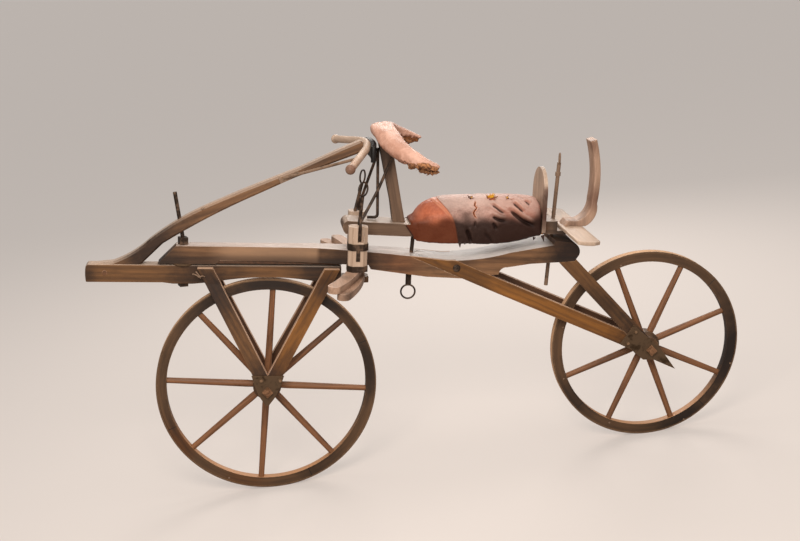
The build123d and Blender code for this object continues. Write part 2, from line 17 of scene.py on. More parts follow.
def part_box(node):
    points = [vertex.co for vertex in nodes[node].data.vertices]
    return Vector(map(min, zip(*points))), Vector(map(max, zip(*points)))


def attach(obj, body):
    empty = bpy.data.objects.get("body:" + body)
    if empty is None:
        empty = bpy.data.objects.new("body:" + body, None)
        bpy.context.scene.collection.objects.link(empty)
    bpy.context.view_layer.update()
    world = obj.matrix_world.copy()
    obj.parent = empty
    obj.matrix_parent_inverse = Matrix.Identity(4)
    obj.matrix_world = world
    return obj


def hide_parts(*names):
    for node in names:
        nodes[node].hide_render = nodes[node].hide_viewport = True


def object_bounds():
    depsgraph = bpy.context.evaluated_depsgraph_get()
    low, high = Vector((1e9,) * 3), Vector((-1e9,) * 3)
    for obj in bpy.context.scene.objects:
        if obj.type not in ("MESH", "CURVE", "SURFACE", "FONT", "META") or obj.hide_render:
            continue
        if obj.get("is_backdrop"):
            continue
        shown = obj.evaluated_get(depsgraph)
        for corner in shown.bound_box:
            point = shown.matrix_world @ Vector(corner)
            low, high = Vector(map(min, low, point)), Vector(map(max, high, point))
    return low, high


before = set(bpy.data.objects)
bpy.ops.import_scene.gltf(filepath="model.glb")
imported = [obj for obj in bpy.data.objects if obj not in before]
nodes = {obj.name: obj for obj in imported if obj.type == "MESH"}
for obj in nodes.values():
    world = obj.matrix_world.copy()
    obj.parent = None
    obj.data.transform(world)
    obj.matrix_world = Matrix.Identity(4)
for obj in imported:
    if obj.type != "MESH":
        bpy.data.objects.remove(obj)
cad_low, cad_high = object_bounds()
scene = bpy.context.scene

# %% [markdown]
# ## Two ways to say where a piece is
# The machine stands nose up, so places are easier to read along its own woodwork: x to the
# rear, y to the rider's right, z up, in millimetres. One matrix turns them into the place
# on the standing machine, in metres, with the origin on top of the saddle.

# %% The woodwork's own frame
NOSE_UP = math.radians(8.1)
SADDLE_TOP = V((0.930, 0, 0.168))
WOODWORK = Matrix.Rotation(NOSE_UP, 4, "Y") @ Matrix.Translation(-SADDLE_TOP)
TO_WOODWORK = WOODWORK.inverted()
TURNED = WOODWORK.to_3x3()   # the turn alone, for directions


def spot(x, y, z):
    """A place given along the woodwork in millimetres, on the standing machine in metres."""
    return WOODWORK @ V((x / 1000, y / 1000, z / 1000))


def woodwork(point):
    """The other way round: a place on the standing machine, in millimetres of woodwork."""
    return (TO_WOODWORK @ point) * 1000


print("steering pin stands at", tuple(round(c, 3) for c in spot(0, 0, 0)))

# %% [markdown]
# ## Camera
# The photograph was taken from the rider's left, a little above the perch, with the camera
# tilted down and rolled a few degrees. The camera's axes are built from those three angles.

# %% Camera
YAW, PITCH, ROLL = (math.radians(a) for a in (5.51, 15.35, 5.94))
CAMERA_AT = (-0.6632, -3.7938, 0.8413)
LENS = 57.27
forward = V((math.sin(YAW) * math.cos(PITCH), math.cos(YAW) * math.cos(PITCH), -math.sin(PITCH)))
level = V((math.cos(YAW), -math.sin(YAW), 0))
sinking = forward.cross(level)
right = math.cos(ROLL) * level + math.sin(ROLL) * sinking
down = -math.sin(ROLL) * level + math.cos(ROLL) * sinking

camera_data = bpy.data.cameras.new("camera")
camera_data.lens = LENS
camera = bpy.data.objects.new("camera", camera_data)
camera.matrix_world = Matrix.Translation(CAMERA_AT) @ Matrix((right, -down, -forward)).transposed().to_4x4()
scene.collection.objects.link(camera)
scene.camera = camera
print("camera at", CAMERA_AT, "with a lens of", LENS, "mm")

# %% [markdown]
# ## Studio
# A plain pale floor and four soft area lamps. The strongest stands in front to the left, a
# weaker one fills from the right, one lights the far side, and one hangs above, so tops are
# bright and undersides fall into shade. A little glow, which only the camera sees, makes the
# floor paler without lighting the machine.

# %% Floor, lamps and world
FLOOR = cad_low.z
FLOOR_SIZE = 60
FLOOR_GLOW = 0.42    # only the camera sees it
SKY_LIGHT = 0.36


def linear(code):
    """A colour written as red, green and blue from 0 to 255, as the shader wants it."""
    part = [c / 255 for c in code]
    return tuple(c / 12.92 if c <= 0.04045 else ((c + 0.055) / 1.055) ** 2.4 for c in part) + (1.0,)


def new_object(name, bm):
    """A mesh object made of a bmesh, in the scene, at the origin."""
    mesh = bpy.data.meshes.new(name)
    bm.to_mesh(mesh)
    bm.free()
    made = bpy.data.objects.new(name, mesh)
    scene.collection.objects.link(made)
    return made


def lamp(name, place, aim, size, power, colour):
    """A soft square area lamp."""
    data = bpy.data.lights.new(name, "AREA")
    data.size, data.energy, data.color = size, power, linear(colour)[:3]
    made = bpy.data.objects.new(name, data)
    made.location = place
    made.rotation_euler = (V(aim) - V(place)).to_track_quat("-Z", "Y").to_euler()
    scene.collection.objects.link(made)


bm = bmesh.new()
bmesh.ops.create_grid(bm, x_segments=1, y_segments=1, size=FLOOR_SIZE,
                      matrix=Matrix.Translation((0, 0, FLOOR)))
floor = new_object("floor", bm)
floor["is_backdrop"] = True
floor_paint = bpy.data.materials.new("floor paint")
floor_paint.use_nodes = True
floor_tree = floor_paint.node_tree
floor_shader = floor_tree.nodes["Principled BSDF"]
floor_shader.inputs["Base Color"].default_value = linear((168, 158, 151))
floor_shader.inputs["Roughness"].default_value = 0.9
floor_shader.inputs["Emission Color"].default_value = linear((236, 228, 222))
seen = floor_tree.nodes.new("ShaderNodeLightPath")
glow = floor_tree.nodes.new("ShaderNodeMath")
glow.operation = "MULTIPLY"
glow.inputs[1].default_value = FLOOR_GLOW
floor_tree.links.new(seen.outputs["Is Camera Ray"], glow.inputs[0])
floor_tree.links.new(glow.outputs[0], floor_shader.inputs["Emission Strength"])
floor.data.materials.append(floor_paint)

lamp("key", (-0.9, -2.4, 1.5), (-0.15, 0, -0.25), 1.3, 66, (255, 247, 238))
lamp("fill", (1.3, -3.0, 1.1), (0, 0, -0.3), 2.0, 16, (255, 247, 240))
lamp("back", (0.5, 2.6, 1.25), (0, 0, -0.3), 1.6, 46, (255, 250, 245))
lamp("top", (-0.2, 0.1, 3.0), (-0.15, 0, -0.3), 2.2, 44, (255, 249, 243))

world = bpy.data.worlds.new("studio")
world.use_nodes = True
sky = world.node_tree.nodes["Background"]
sky.inputs["Color"].default_value = linear((246, 241, 237))
sky.inputs["Strength"].default_value = SKY_LIGHT
scene.world = world
scene.view_settings.view_transform = "Standard"
print("lamps:", sorted(light.name for light in bpy.data.lights))

# %% [markdown]
# ## Shader groups
# Every board is old oak or ash with its own tone, so the grain is one shader group. Its
# coordinates run along the grain in x, and each material turns and shifts them for its
# piece. Broad bands, thin fibres, growth rings and dark patches are four noises of
# different stretch.

# %% A small helper for shader groups


class Group:
    """A shader group that is being wired, with named inputs and outputs."""

    def __init__(self, name, inputs, outputs):
        self.tree = bpy.data.node_groups.new(name, "ShaderNodeTree")
        for label, kind, value in inputs:
            socket = self.tree.interface.new_socket(label, in_out="INPUT", socket_type="NodeSocket" + kind)
            if value is not None:
                socket.default_value = value
        for label, kind in outputs:
            self.tree.interface.new_socket(label, in_out="OUTPUT", socket_type="NodeSocket" + kind)
        self.given = self.tree.nodes.new("NodeGroupInput").outputs
        self.result = self.tree.nodes.new("NodeGroupOutput").inputs

    def link(self, source, socket):
        self.tree.links.new(source, socket)

    def put(self, value, socket):
        """Feeds a socket from a wire or a plain value."""
        if isinstance(value, bpy.types.NodeSocket):
            self.link(value, socket)
        else:
            socket.default_value = value

    def math(self, what, *values):
        node = self.tree.nodes.new("ShaderNodeMath")
        node.operation = what
        for value, socket in zip(values, node.inputs):
            self.put(value, socket)
        return node.outputs[0]

    def times(self, first, second):
        return self.math("MULTIPLY", first, second)

    def plus(self, first, second):
        return self.math("ADD", first, second)

    def minus(self, first, second):
        return self.math("SUBTRACT", first, second)

    def vector(self, what, first, second):
        """Vector arithmetic: a product or a sum is output 0, a single number is output 1."""
        node = self.tree.nodes.new("ShaderNodeVectorMath")
        node.operation = what
        self.put(first, node.inputs[0])
        self.put(second, node.inputs[1])
        return node.outputs

    def stretch(self, vector, scale):
        return self.vector("MULTIPLY", vector, scale)[0]

    def noise(self, vector, scale, detail=3.0, roughness=0.55, distortion=0.0):
        node = self.tree.nodes.new("ShaderNodeTexNoise")
        self.put(vector, node.inputs["Vector"])
        self.put(scale, node.inputs["Scale"])
        node.inputs["Detail"].default_value = detail
        node.inputs["Roughness"].default_value = roughness
        node.inputs["Distortion"].default_value = distortion
        return node.outputs["Fac"]

    def step(self, value, low, high):
        """0 below low, 1 above high, and a smooth slope between them."""
        node = self.tree.nodes.new("ShaderNodeMapRange")
        node.interpolation_type = "SMOOTHSTEP"
        self.put(value, node.inputs["Value"])
        self.put(low, node.inputs["From Min"])
        self.put(high, node.inputs["From Max"])
        return node.outputs["Result"]

    def mix(self, share, first, second, blend="MIX"):
        node = self.tree.nodes.new("ShaderNodeMix")
        node.data_type, node.blend_type, node.clamp_factor = "RGBA", blend, True
        for value, socket in zip((share, first, second), (node.inputs[0], node.inputs[6], node.inputs[7])):
            self.put(value, socket)
        return node.outputs[2]

    def tint(self, colour, share, strength, code):
        """Moves a colour towards a written one, by a share that is first cut down to a strength."""
        return self.mix(self.times(share, strength), colour, linear(code))

    def split(self, vector):
        node = self.tree.nodes.new("ShaderNodeSeparateXYZ")
        self.put(vector, node.inputs[0])
        return node.outputs

    def join(self, x, y, z):
        node = self.tree.nodes.new("ShaderNodeCombineXYZ")
        for value, socket in zip((x, y, z), node.inputs):
            self.put(value, socket)
        return node.outputs[0]


# %% Grain
grain = Group(
    "Old wood",
    [("Vector", "Vector", None), ("Light", "Color", linear((150, 110, 78))),
     ("Dark", "Color", linear((70, 46, 28))), ("Patches", "Float", 0.5), ("Rings", "Float", 0.35)],
    [("Color", "Color"), ("Roughness", "Float"), ("Height", "Float")])
way = grain.given["Vector"]
bands = grain.noise(grain.stretch(way, (2.6, 52, 52)), 1.0, 6, 0.66, 0.3)
fibres = grain.noise(grain.stretch(way, (18, 520, 520)), 1.0, 3, 0.6)
patches = grain.noise(grain.stretch(way, (4, 9, 9)), 1.0, 5, 0.6, 0.3)
wave = grain.tree.nodes.new("ShaderNodeTexWave")
wave.bands_direction = "Z"
grain.link(grain.stretch(way, (1.6, 17, 17)), wave.inputs["Vector"])
for socket, value in (("Scale", 1.0), ("Distortion", 5.5), ("Detail", 3.0), ("Detail Scale", 1.6)):
    wave.inputs[socket].default_value = value
rings = grain.times(wave.outputs["Fac"], grain.given["Rings"])
tone = grain.plus(grain.times(bands, 0.62), grain.times(fibres, 0.26))
tone = grain.plus(tone, grain.times(patches, 0.3))
tone = grain.minus(tone, grain.times(rings, 0.4))
plain = grain.mix(grain.step(tone, 0.3, 0.8), grain.given["Dark"], grain.given["Light"])
dirt = grain.times(grain.step(patches, 0.47, 0.72), grain.given["Patches"])
soiled = grain.mix(0.72, plain, linear((46, 31, 21)), "MULTIPLY")
grain.link(grain.mix(dirt, plain, soiled), grain.result["Color"])
grain.link(grain.plus(0.42, grain.times(bands, 0.32)), grain.result["Roughness"])
height = grain.plus(grain.times(fibres, 0.6), grain.times(bands, 0.5))
grain.link(grain.minus(height, grain.times(rings, 0.3)), grain.result["Height"])

# %% [markdown]
# Hands, boots and rain round the edges first. The edge group compares the true normal with
# one rounded over a few millimetres: they differ only near an edge. A noise breaks the
# line up, so the wear isn't a drawn outline.

# %% Worn edges
edge = Group("Worn edges", [("Vector", "Vector", None), ("Width", "Float", 0.004)], [("Mask", "Float")])
rounded = edge.tree.nodes.new("ShaderNodeBevel")
rounded.samples = 4
edge.link(edge.given["Width"], rounded.inputs["Radius"])
facing = edge.tree.nodes.new("ShaderNodeNewGeometry")
likeness = edge.vector("DOT_PRODUCT", rounded.outputs[0], facing.outputs["Normal"])[1]
turned = edge.minus(1.0, likeness)
broken = edge.noise(edge.given["Vector"], 60.0, 4, 0.7)
edge.link(edge.times(edge.step(turned, 0.02, 0.2), edge.step(broken, 0.36, 0.6)),
          edge.result["Mask"])

# %% [markdown]
# On a wheel the grain runs round the rim or out along a spoke, so the wheel group turns
# plain coordinates into polar ones about the axle.

# %% Grain that goes round an axle
polar = Group(
    "About the axle", [("Vector", "Vector", None), ("Axle x", "Float", 0.0), ("Axle z", "Float", 0.0)],
    [("Round", "Vector"), ("Outward", "Vector"), ("Turn", "Float"), ("Radius", "Float")])
px, py, pz = polar.split(polar.given["Vector"])
px = polar.minus(px, polar.given["Axle x"])
pz = polar.minus(pz, polar.given["Axle z"])
radius = polar.math("SQRT", polar.plus(polar.times(px, px), polar.times(pz, pz)))
turn = polar.math("ARCTAN2", pz, px)
polar.link(polar.join(polar.times(turn, 0.32), py, radius), polar.result["Round"])
polar.link(polar.join(radius, py, polar.times(turn, 0.5)), polar.result["Outward"])
polar.link(turn, polar.result["Turn"])
polar.link(radius, polar.result["Radius"])

# %% [markdown]
# Forged iron that is two centuries old is nearly black, with brown rust in the hollows and
# a dull shine where it was handled.

# %% Forged iron
forged = Group(
    "Forged iron", [("Vector", "Vector", None), ("Dark", "Color", linear((38, 33, 29))),
                    ("Rust", "Color", linear((92, 62, 40))), ("Rusty", "Float", 0.5)],
    [("Color", "Color"), ("Roughness", "Float"), ("Metallic", "Float"), ("Height", "Float")])
blotch = forged.noise(forged.given["Vector"], 38.0, 6, 0.65, 0.4)
pits = forged.noise(forged.given["Vector"], 260.0, 4, 0.6)
low = forged.minus(0.78, forged.times(forged.given["Rusty"], 0.4))
rust = forged.step(blotch, low, forged.plus(low, 0.16))
forged.link(forged.mix(rust, forged.given["Dark"], forged.given["Rust"]), forged.result["Color"])
forged.link(forged.plus(0.42, forged.times(rust, 0.35)), forged.result["Roughness"])
forged.link(forged.minus(0.75, forged.times(rust, 0.7)), forged.result["Metallic"])
forged.link(forged.plus(forged.times(pits, 0.5), blotch), forged.result["Height"])

# %% [markdown]
# Leather is a field of fine cells with creases between them. The same group serves the
# saddle and the arm rest.

# %% Leather grain
hide = Group(
    "Leather grain", [("Vector", "Vector", None), ("Light", "Color", linear((200, 120, 88))),
                      ("Dark", "Color", linear((111, 59, 39))), ("Age", "Float", 0.5)],
    [("Color", "Color"), ("Roughness", "Float"), ("Height", "Float")])
cells = hide.tree.nodes.new("ShaderNodeTexVoronoi")
cells.feature = "DISTANCE_TO_EDGE"
cells.inputs["Scale"].default_value = 420
soft = hide.noise(hide.given["Vector"], 24.0, 5, 0.6, 0.5)
bent = hide.vector("ADD", hide.given["Vector"], hide.join(hide.times(soft, 0.01), 0.0, 0.0))[0]
hide.link(bent, cells.inputs["Vector"])
grit = hide.noise(hide.given["Vector"], 150.0, 5, 0.7)
cloud = hide.noise(hide.given["Vector"], 9.0, 4, 0.55, 0.6)
worn = hide.plus(hide.times(cloud, 0.7), hide.times(soft, 0.35))
worn = hide.plus(worn, hide.times(hide.minus(grit, 0.5), 0.35))
faded = hide.mix(hide.step(worn, 0.38, 0.66), hide.given["Dark"], hide.given["Light"])
hide.link(faded, hide.result["Color"])
hide.link(hide.plus(0.32, hide.times(hide.given["Age"], soft)), hide.result["Roughness"])
creases = hide.step(cells.outputs["Distance"], 0.0, 0.12)
hide.link(hide.plus(hide.times(creases, 0.5),
                    hide.times(hide.plus(grit, soft), hide.given["Age"])),
          hide.result["Height"])
print("shader groups:", sorted(g.name for g in bpy.data.node_groups))

# %% [markdown]
# ## Wood finishes
# A material is a group with its own values, feeding a Principled shader. The grain follows
# each board: its angle is measured from the rear end upwards, along the woodwork.

# %% Materials


class Finish(Group):
    """A material that is being wired with the same helpers as a group."""

    def __init__(self, name):
        self.material = bpy.data.materials.new(name)
        self.material.use_nodes = True
        self.tree = self.material.node_tree
        self.shader = self.tree.nodes["Principled BSDF"]
        self.where = self.tree.nodes.new("ShaderNodeTexCoord").outputs["Object"]

    def use(self, group, **values):
        node = self.tree.nodes.new("ShaderNodeGroup")
        node.node_tree = group.tree
        for label, value in values.items():
            self.put(value, node.inputs[label.replace("_", " ")])
        return node.outputs

    def aim(self, turn=(0, 0, 0), shift=(0, 0, 0), source=None):
        """Object coordinates turned by Euler angles and shifted."""
        node = self.tree.nodes.new("ShaderNodeMapping")
        self.link(source or self.where, node.inputs["Vector"])
        node.inputs["Rotation"].default_value = turn
        node.inputs["Location"].default_value = shift
        return node.outputs[0]

    def attribute(self, name):
        node = self.tree.nodes.new("ShaderNodeAttribute")
        node.attribute_name = name
        return node.outputs["Fac"]

    def bump(self, height, strength, distance):
        node = self.tree.nodes.new("ShaderNodeBump")
        node.inputs["Strength"].default_value = strength
        node.inputs["Distance"].default_value = distance
        self.link(height, node.inputs["Height"])
        self.link(node.outputs[0], self.shader.inputs["Normal"])

    def finish(self, colour, roughness, height=None, strength=0.35, distance=0.001):
        self.put(colour, self.shader.inputs["Base Color"])
        self.put(roughness, self.shader.inputs["Roughness"])
        if height is not None:
            self.bump(height, strength, distance)
        return self.material


WOODS = {   # light, dark, patches, rings, worn edge
    "brown": ((148, 106, 70), (82, 54, 32), 0.85, 0.22, (194, 156, 124)),
    "umber": ((132, 90, 50), (68, 43, 21), 0.95, 0.2, (190, 148, 108)),
    "amber": ((160, 103, 38), (86, 51, 18), 0.85, 0.2, (206, 158, 106)),
    # black: the far struts and stays take it as painted shade, for they stand in shadow behind the near
    # ones
    "black": ((104, 68, 42), (52, 33, 20), 0.5, 0.2, (160, 120, 84)),
    "pale": ((208, 182, 160), (166, 138, 116), 0.5, 0.15, (232, 212, 196)),
    "worn": ((196, 160, 136), (140, 108, 86), 0.9, 0.1, (226, 200, 182)),
    "grey": ((126, 98, 76), (78, 56, 40), 0.7, 0.2, (200, 172, 148)),
    "wheel": ((110, 79, 52), (56, 38, 22), 0.8, 0.16, (176, 136, 98)),
    "spoke": ((160, 108, 70), (90, 57, 34), 1.0, 0.1, (204, 156, 118)),
}
seeds = random.Random(1817)


def wood(name, tone, turn=(0, 0, 0), wear=0.004, axle=None, route=None):
    """Aged wood with its grain along the turned x axis, or about an axle."""
    light, dark, patches_, rings_, bright = WOODS[tone]
    paint = Finish(name)
    shift = tuple(seeds.uniform(-3, 3) for _ in range(3))
    if axle:
        about = paint.use(polar, Vector=paint.where, Axle_x=axle.x, Axle_z=axle.z)
        path = paint.aim(shift=shift, source=about[route])
    else:
        path = paint.aim(turn, shift)
    boards = paint.use(grain, Vector=path, Light=linear(light), Dark=linear(dark),
                       Patches=patches_, Rings=rings_)
    rub = paint.use(edge, Vector=paint.where, Width=wear)["Mask"]
    colour = paint.mix(paint.times(rub, 0.7), boards["Color"], linear(bright))
    return paint, colour, boards


def facing_up(paint, low, high):
    """1 where the surface faces up along the woodwork, 0 on sides and below."""
    outward = paint.tree.nodes.new("ShaderNodeNewGeometry").outputs["True Normal"]
    return paint.step(paint.vector("DOT_PRODUCT", outward, TURNED @ V((0, 0, 1)))[1], low, high)


def ruler(paint, along):
    """How far a point lies along a direction of the woodwork, in millimetres."""
    along = V(along)
    reach = paint.vector("DOT_PRODUCT", paint.where, TURNED @ along)[1]
    return paint.times(paint.plus(reach, SADDLE_TOP.dot(along)), 1000)


# dark tint for stains, and for painted shade and shadow on the perch
SOOT_AND_SHADE = (88, 72, 60)


def darken(paint, colour, spots):
    """Deepens a wood's colour round given places: stains of grease, smoke and hands, and on the perch also
    painted shadow.
    """
    for x, y, z, reach, strength, *tint in spots:
        ragged = paint.times(paint.noise(paint.where, 18.0, 4, 0.6), reach / 1400)
        near_ = paint.plus(paint.vector("DISTANCE", paint.where, spot(x, y, z))[1], ragged)
        share = paint.minus(1.0, paint.step(near_, reach / 2200, reach / 850))
        deep_ = paint.mix(1.0, colour, linear(tint[0] if tint else SOOT_AND_SHADE), "MULTIPLY")
        colour = paint.mix(paint.times(share, strength), colour, deep_)
    return colour


def soften(name, width):
    """Rounds the sharp edges of a CAD board with modifiers, so its mesh stays as it is."""
    weld = nodes[name].modifiers.new("weld", "WELD")
    weld.merge_threshold = 0.00002
    bevel = nodes[name].modifiers.new("soft edges", "BEVEL")
    bevel.width, bevel.segments = width, 2
    bevel.limit_method, bevel.angle_limit = "ANGLE", math.radians(38)
    bevel.use_clamp_overlap = True


def coat(piece, material):
    """Gives a piece one material in place of any other."""
    piece.data.materials.clear()
    piece.data.materials.append(material)


def lay(angle):
    """The turn that lays a board's grain at this angle along the woodwork."""
    return (0, math.radians(angle) - NOSE_UP, 0)


ACROSS = (0, 0, math.radians(-90))
HONEY, TAN = (222, 184, 158), (140, 106, 90)
DUSTY_AND_LIT_TOPS = ("tiller_pole", "fork_beam", "saddle_board")
FRONT_SPOT = (259, -71, -448, 210, 0.9)
REAR_SPOT = (1470, -71, -312, 260, 0.95)
BOARDS = (   # node, tone, grain, rounding in millimetres, stained spots
    ("fork_beam", "umber", lay(0), 2.5,
     ((60, -24, -80, 190, 0.8), (-290, -20, -90, 60, 0.7), (410, -24, -80, 150, 0.8))),
    ("saddle_board", "grey", lay(1), 2.5,
     ((1170, -45, 70, 90, 0.8), (1100, -45, 76, 30, 0.9, (255, 200, 120)))),
    ("strut_front_near", "umber", lay(-60), 3, (FRONT_SPOT, (70, -40, -150, 190, 0.9))),
    ("strut_front_far", "black", lay(-60), 3, (FRONT_SPOT,)),
    ("strut_rear_near", "amber", lay(60), 3, (FRONT_SPOT, (430, -40, -120, 110, 0.7))),
    ("strut_rear_far", "black", lay(60), 3, (FRONT_SPOT,)),
    ("lower_stay_near", "amber", lay(-22), 2.5, (REAR_SPOT,)),
    ("lower_stay_far", "black", lay(-22), 2.5, (REAR_SPOT,)),
    ("upper_stay_near", "umber", lay(-45), 0, (REAR_SPOT, (1300, -60, -160, 160, 0.6))),
    ("upper_stay_far", "black", lay(-45), 2.5, (REAR_SPOT,)),
    ("clamp_post_near", "pale", lay(90), 1.2, ()), ("clamp_post_far", "pale", lay(90), 1.2, ()),
    ("arm_post", "grey", lay(-78), 2, ((590, -20, 300, 130, 0.5),)),
    ("upper_arc", "worn", ACROSS, 5, ((530, -60, -60, 90, 0.5), (530, -300, -60, 60, 0.6))),
    ("lower_arc", "worn", ACROSS, 5, ((515, -90, -80, 110, 0.5), (490, -290, -80, 60, 0.6))),
    ("tail_board", "pale", ACROSS, 3, ()),
    ("luggage_hook", "worn", lay(85), 3,
     ((1232, -32, 330, 60, 0.6, TAN), (1262, -20, 170, 80, 0.7, TAN))),
    ("saddle_back", "pale", lay(88), 2,
     ((1100, -90, 120, 130, 1.0, (96, 62, 46)), (1096, -84, 190, 50, 0.8, TAN))),
    ("tiller_pole", "brown", lay(21), 1.5, ((-90, -19, 10, 230, 0.9), (400, -19, 240, 160, 0.5))),
    ("handle", "pale", ACROSS, 0,
     ((488, -246, 290, 80, 0.4, HONEY), (475, -284, 287, 34, 1.0, TAN), (475, 294, 287, 22, 1.0, TAN))),
    ("handle_backing", "black", ACROSS, 2, ((480, 0, 300, 900, 1.0), (480, -200, 300, 500, 1.0))),
)
for name, tone, turn_, rounding, spots in BOARDS:
    paint, colour, boards = wood(name + " wood", tone, turn_)
    colour = darken(paint, colour, spots)
    # painted light: the upward-facing edges of the struts and stays are paler, lit from above
    if name.startswith(("strut", "lower_stay", "upper_stay")):
        colour = paint.tint(colour, facing_up(paint, 0.1, 0.3), 0.62, (226, 186, 156))
    # dust and painted light from above make the upward faces of these boards pale
    if name in DUSTY_AND_LIT_TOPS:
        colour = paint.tint(colour, facing_up(paint, 0.5, 0.82), 0.6, (206, 184, 166))
    coat(nodes[name], paint.finish(colour, boards["Roughness"], boards["Height"], 0.4, 0.0012))
    if rounding:
        soften(name, rounding / 1000)
print("boards with grain:", len(BOARDS))

# %% [markdown]
# The perch's top is pale from end to end, with dust and painted light from above, and it is
# painted whiter still under the saddle, where the saddle's shadow falls; the pale stops short of
# the head. The sides are dark brown. The surface's own direction tells the two apart: it is pale
# where it faces up.

# %% Perch
paint, colour, boards = wood("perch wood", "brown", lay(0))
# stains, and painted shadow on the perch's head at x 1210
PERCH_STAINS_AND_SHADOWS = ((505, -45, -20, 230, 0.75), (1210, -60, 0, 210, 1.0), (-60, -25, -40, 120, 0.6),
                (300, -40, -50, 120, 0.5), (860, -60, -30, 60, 0.5), (650, -60, -30, 120, 0.6, HONEY))
colour = darken(paint, colour, PERCH_STAINS_AND_SHADOWS)
rearward = ruler(paint, (1, 0, 0))
# painted light: a paler zone along the side between x 60 and 415, where the light reaches it
lit_side_share = paint.times(paint.step(rearward, 60, 150), paint.step(rearward, 415, 398))
colour = paint.tint(colour, lit_side_share, 0.5, (184, 146, 114))
# painted shade: the front part of the side darkens towards its lower edge
under = paint.times(paint.step(ruler(paint, (0, 0, 1)), -14, -44), paint.step(rearward, 560, 430))
colour = paint.mix(paint.times(under, 0.75), colour, paint.mix(1.0, colour, linear(SOOT_AND_SHADE), "MULTIPLY"))
# dust and painted light from above: the top is pale where it faces up, up to the shaded head
dusty_lit_top = paint.plus(0.66, paint.times(paint.noise(paint.where, 14.0, 5, 0.65), 0.5))
dusty_lit_top = paint.times(facing_up(paint, 0.8, 0.93), dusty_lit_top)
dusty_lit_top = paint.times(dusty_lit_top, paint.step(rearward, 1140, 1085))
dusty_lit_colour = paint.step(boards["Height"], 0.35, 0.75)
dusty_lit_colour = paint.mix(dusty_lit_colour, linear((182, 162, 150)), linear((232, 218, 210)))
# painted light: whiter still under the saddle, where its shadow falls
dusty_lit_colour = paint.tint(dusty_lit_colour, paint.step(rearward, 620, 760), 0.8, (250, 244, 240))
colour = paint.mix(dusty_lit_top, colour, dusty_lit_colour)
coat(nodes["perch"], paint.finish(colour, boards["Roughness"], boards["Height"], 0.4, 0.0012))
soften("perch", 0.002)
print("stained and shadowed places on the perch:", len(PERCH_STAINS_AND_SHADOWS))

# %% [markdown]
# ## Wheels
# Spokes and felloes take the polar grain. A fine dark line marks each joint between two
# felloes.

# %% Wheel wood
AXLES = {}
WHEEL_STAINS = {
    "front": ((259, 0, -115, 260, 0.9), (90, 0, -165, 130, 0.6), (430, 0, -165, 150, 0.8),
              (-40, 0, -640, 150, 0.9, (255, 214, 150)), (560, 0, -380, 200, 0.8), (60, 0, -230, 160, 0.5),
              (200, 0, -760, 130, 0.7, (255, 224, 170)), (420, 0, -700, 150, 0.6)),
    "rear": ((1740, 0, -330, 300, 0.95), (1640, 0, -580, 220, 0.9), (1300, 0, -160, 160, 0.6),
             (1240, 0, -500, 160, 0.7)),
}
for end, joint_at in (("front", 197.7), ("rear", 217.9)):
    low_, high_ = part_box(end + "_axle")
    axle = AXLES[end] = (low_ + high_) / 2
    paint, colour, boards = wood(end + " felloe wood", "wheel", axle=axle, route="Round")
    about = paint.use(polar, Vector=paint.where, Axle_x=axle.x, Axle_z=axle.z)
    quarter = paint.math("DIVIDE", paint.minus(about["Turn"], math.radians(joint_at)), math.pi / 2)
    near_joint = paint.math("PINGPONG", quarter, 0.5)
    gap = paint.minus(1.0, paint.step(near_joint, 0.0012, 0.0026))
    colour = paint.mix(gap, colour, linear((20, 13, 9)))
    colour = darken(paint, colour, WHEEL_STAINS[end])
    # painted highlight: the felloes' inner face is paler where it faces up, towards the light
    lit_inner_rim = paint.times(facing_up(paint, 0.2, 0.9), paint.step(about["Radius"], 0.33, 0.32))
    colour = paint.tint(colour, lit_inner_rim, 0.75, (206, 150, 104))
    soften(end + "_felloes", 0.0015)
    height = paint.minus(boards["Height"], gap)
    coat(nodes[end + "_felloes"], paint.finish(colour, boards["Roughness"], height, 0.4, 0.0012))
    for piece, tone, route in (("spokes", "spoke", "Outward"), ("hub", "wheel", "Round")):
        paint, colour, boards = wood(f"{end} {piece} wood", tone, axle=axle, route=route)
        turned_wood = paint.finish(colour, boards["Roughness"], boards["Height"], 0.35, 0.001)
        coat(nodes[f"{end}_{piece}"], turned_wood)
print("axles at", {k: tuple(round(c, 3) for c in v) for k, v in AXLES.items()})

# %% [markdown]
# ## Iron
# Five irons come from one function: black on rods and bands, browner on thin stays, and worn
# bright where the plates stand furthest out. The hoops are pale tan, dust and a painted
# reflection of the light from above, with a dark painted shade on their sides and edges.

# %% Iron fittings


def iron(name, dark=(58, 48, 41), rusty=0.6, brown=(98, 70, 50), bright=(150, 122, 96), proud=None):
    """Forged iron with rust in patches and worn edges. Past a distance from the middle it takes the edge
    colour: worn bright on the plates; on the hoops that colour is dark, a painted shade on their sides and
    edges.
    """
    paint = Finish(name)
    metal = paint.use(forged, Vector=paint.where, Dark=linear(dark), Rust=linear(brown), Rusty=rusty)
    rub = paint.use(edge, Vector=paint.where, Width=0.002)["Mask"]
    rub = paint.times(rub, 0.6)
    if proud:
        out_ = paint.math("ABSOLUTE", paint.split(paint.where)[1])
        rub = paint.math("MAXIMUM", rub, paint.times(paint.step(out_, proud[0], proud[1]), 0.8))
    colour = paint.mix(rub, metal["Color"], linear(bright))
    paint.link(metal["Metallic"], paint.shader.inputs["Metallic"])
    return paint.finish(colour, metal["Roughness"], metal["Height"], 0.4, 0.0008)


black_iron = iron("black iron", (66, 54, 46), 0.8, (96, 72, 54))
brown_iron = iron("brown iron", (120, 98, 80), 1.1, (132, 106, 86), (196, 170, 148))
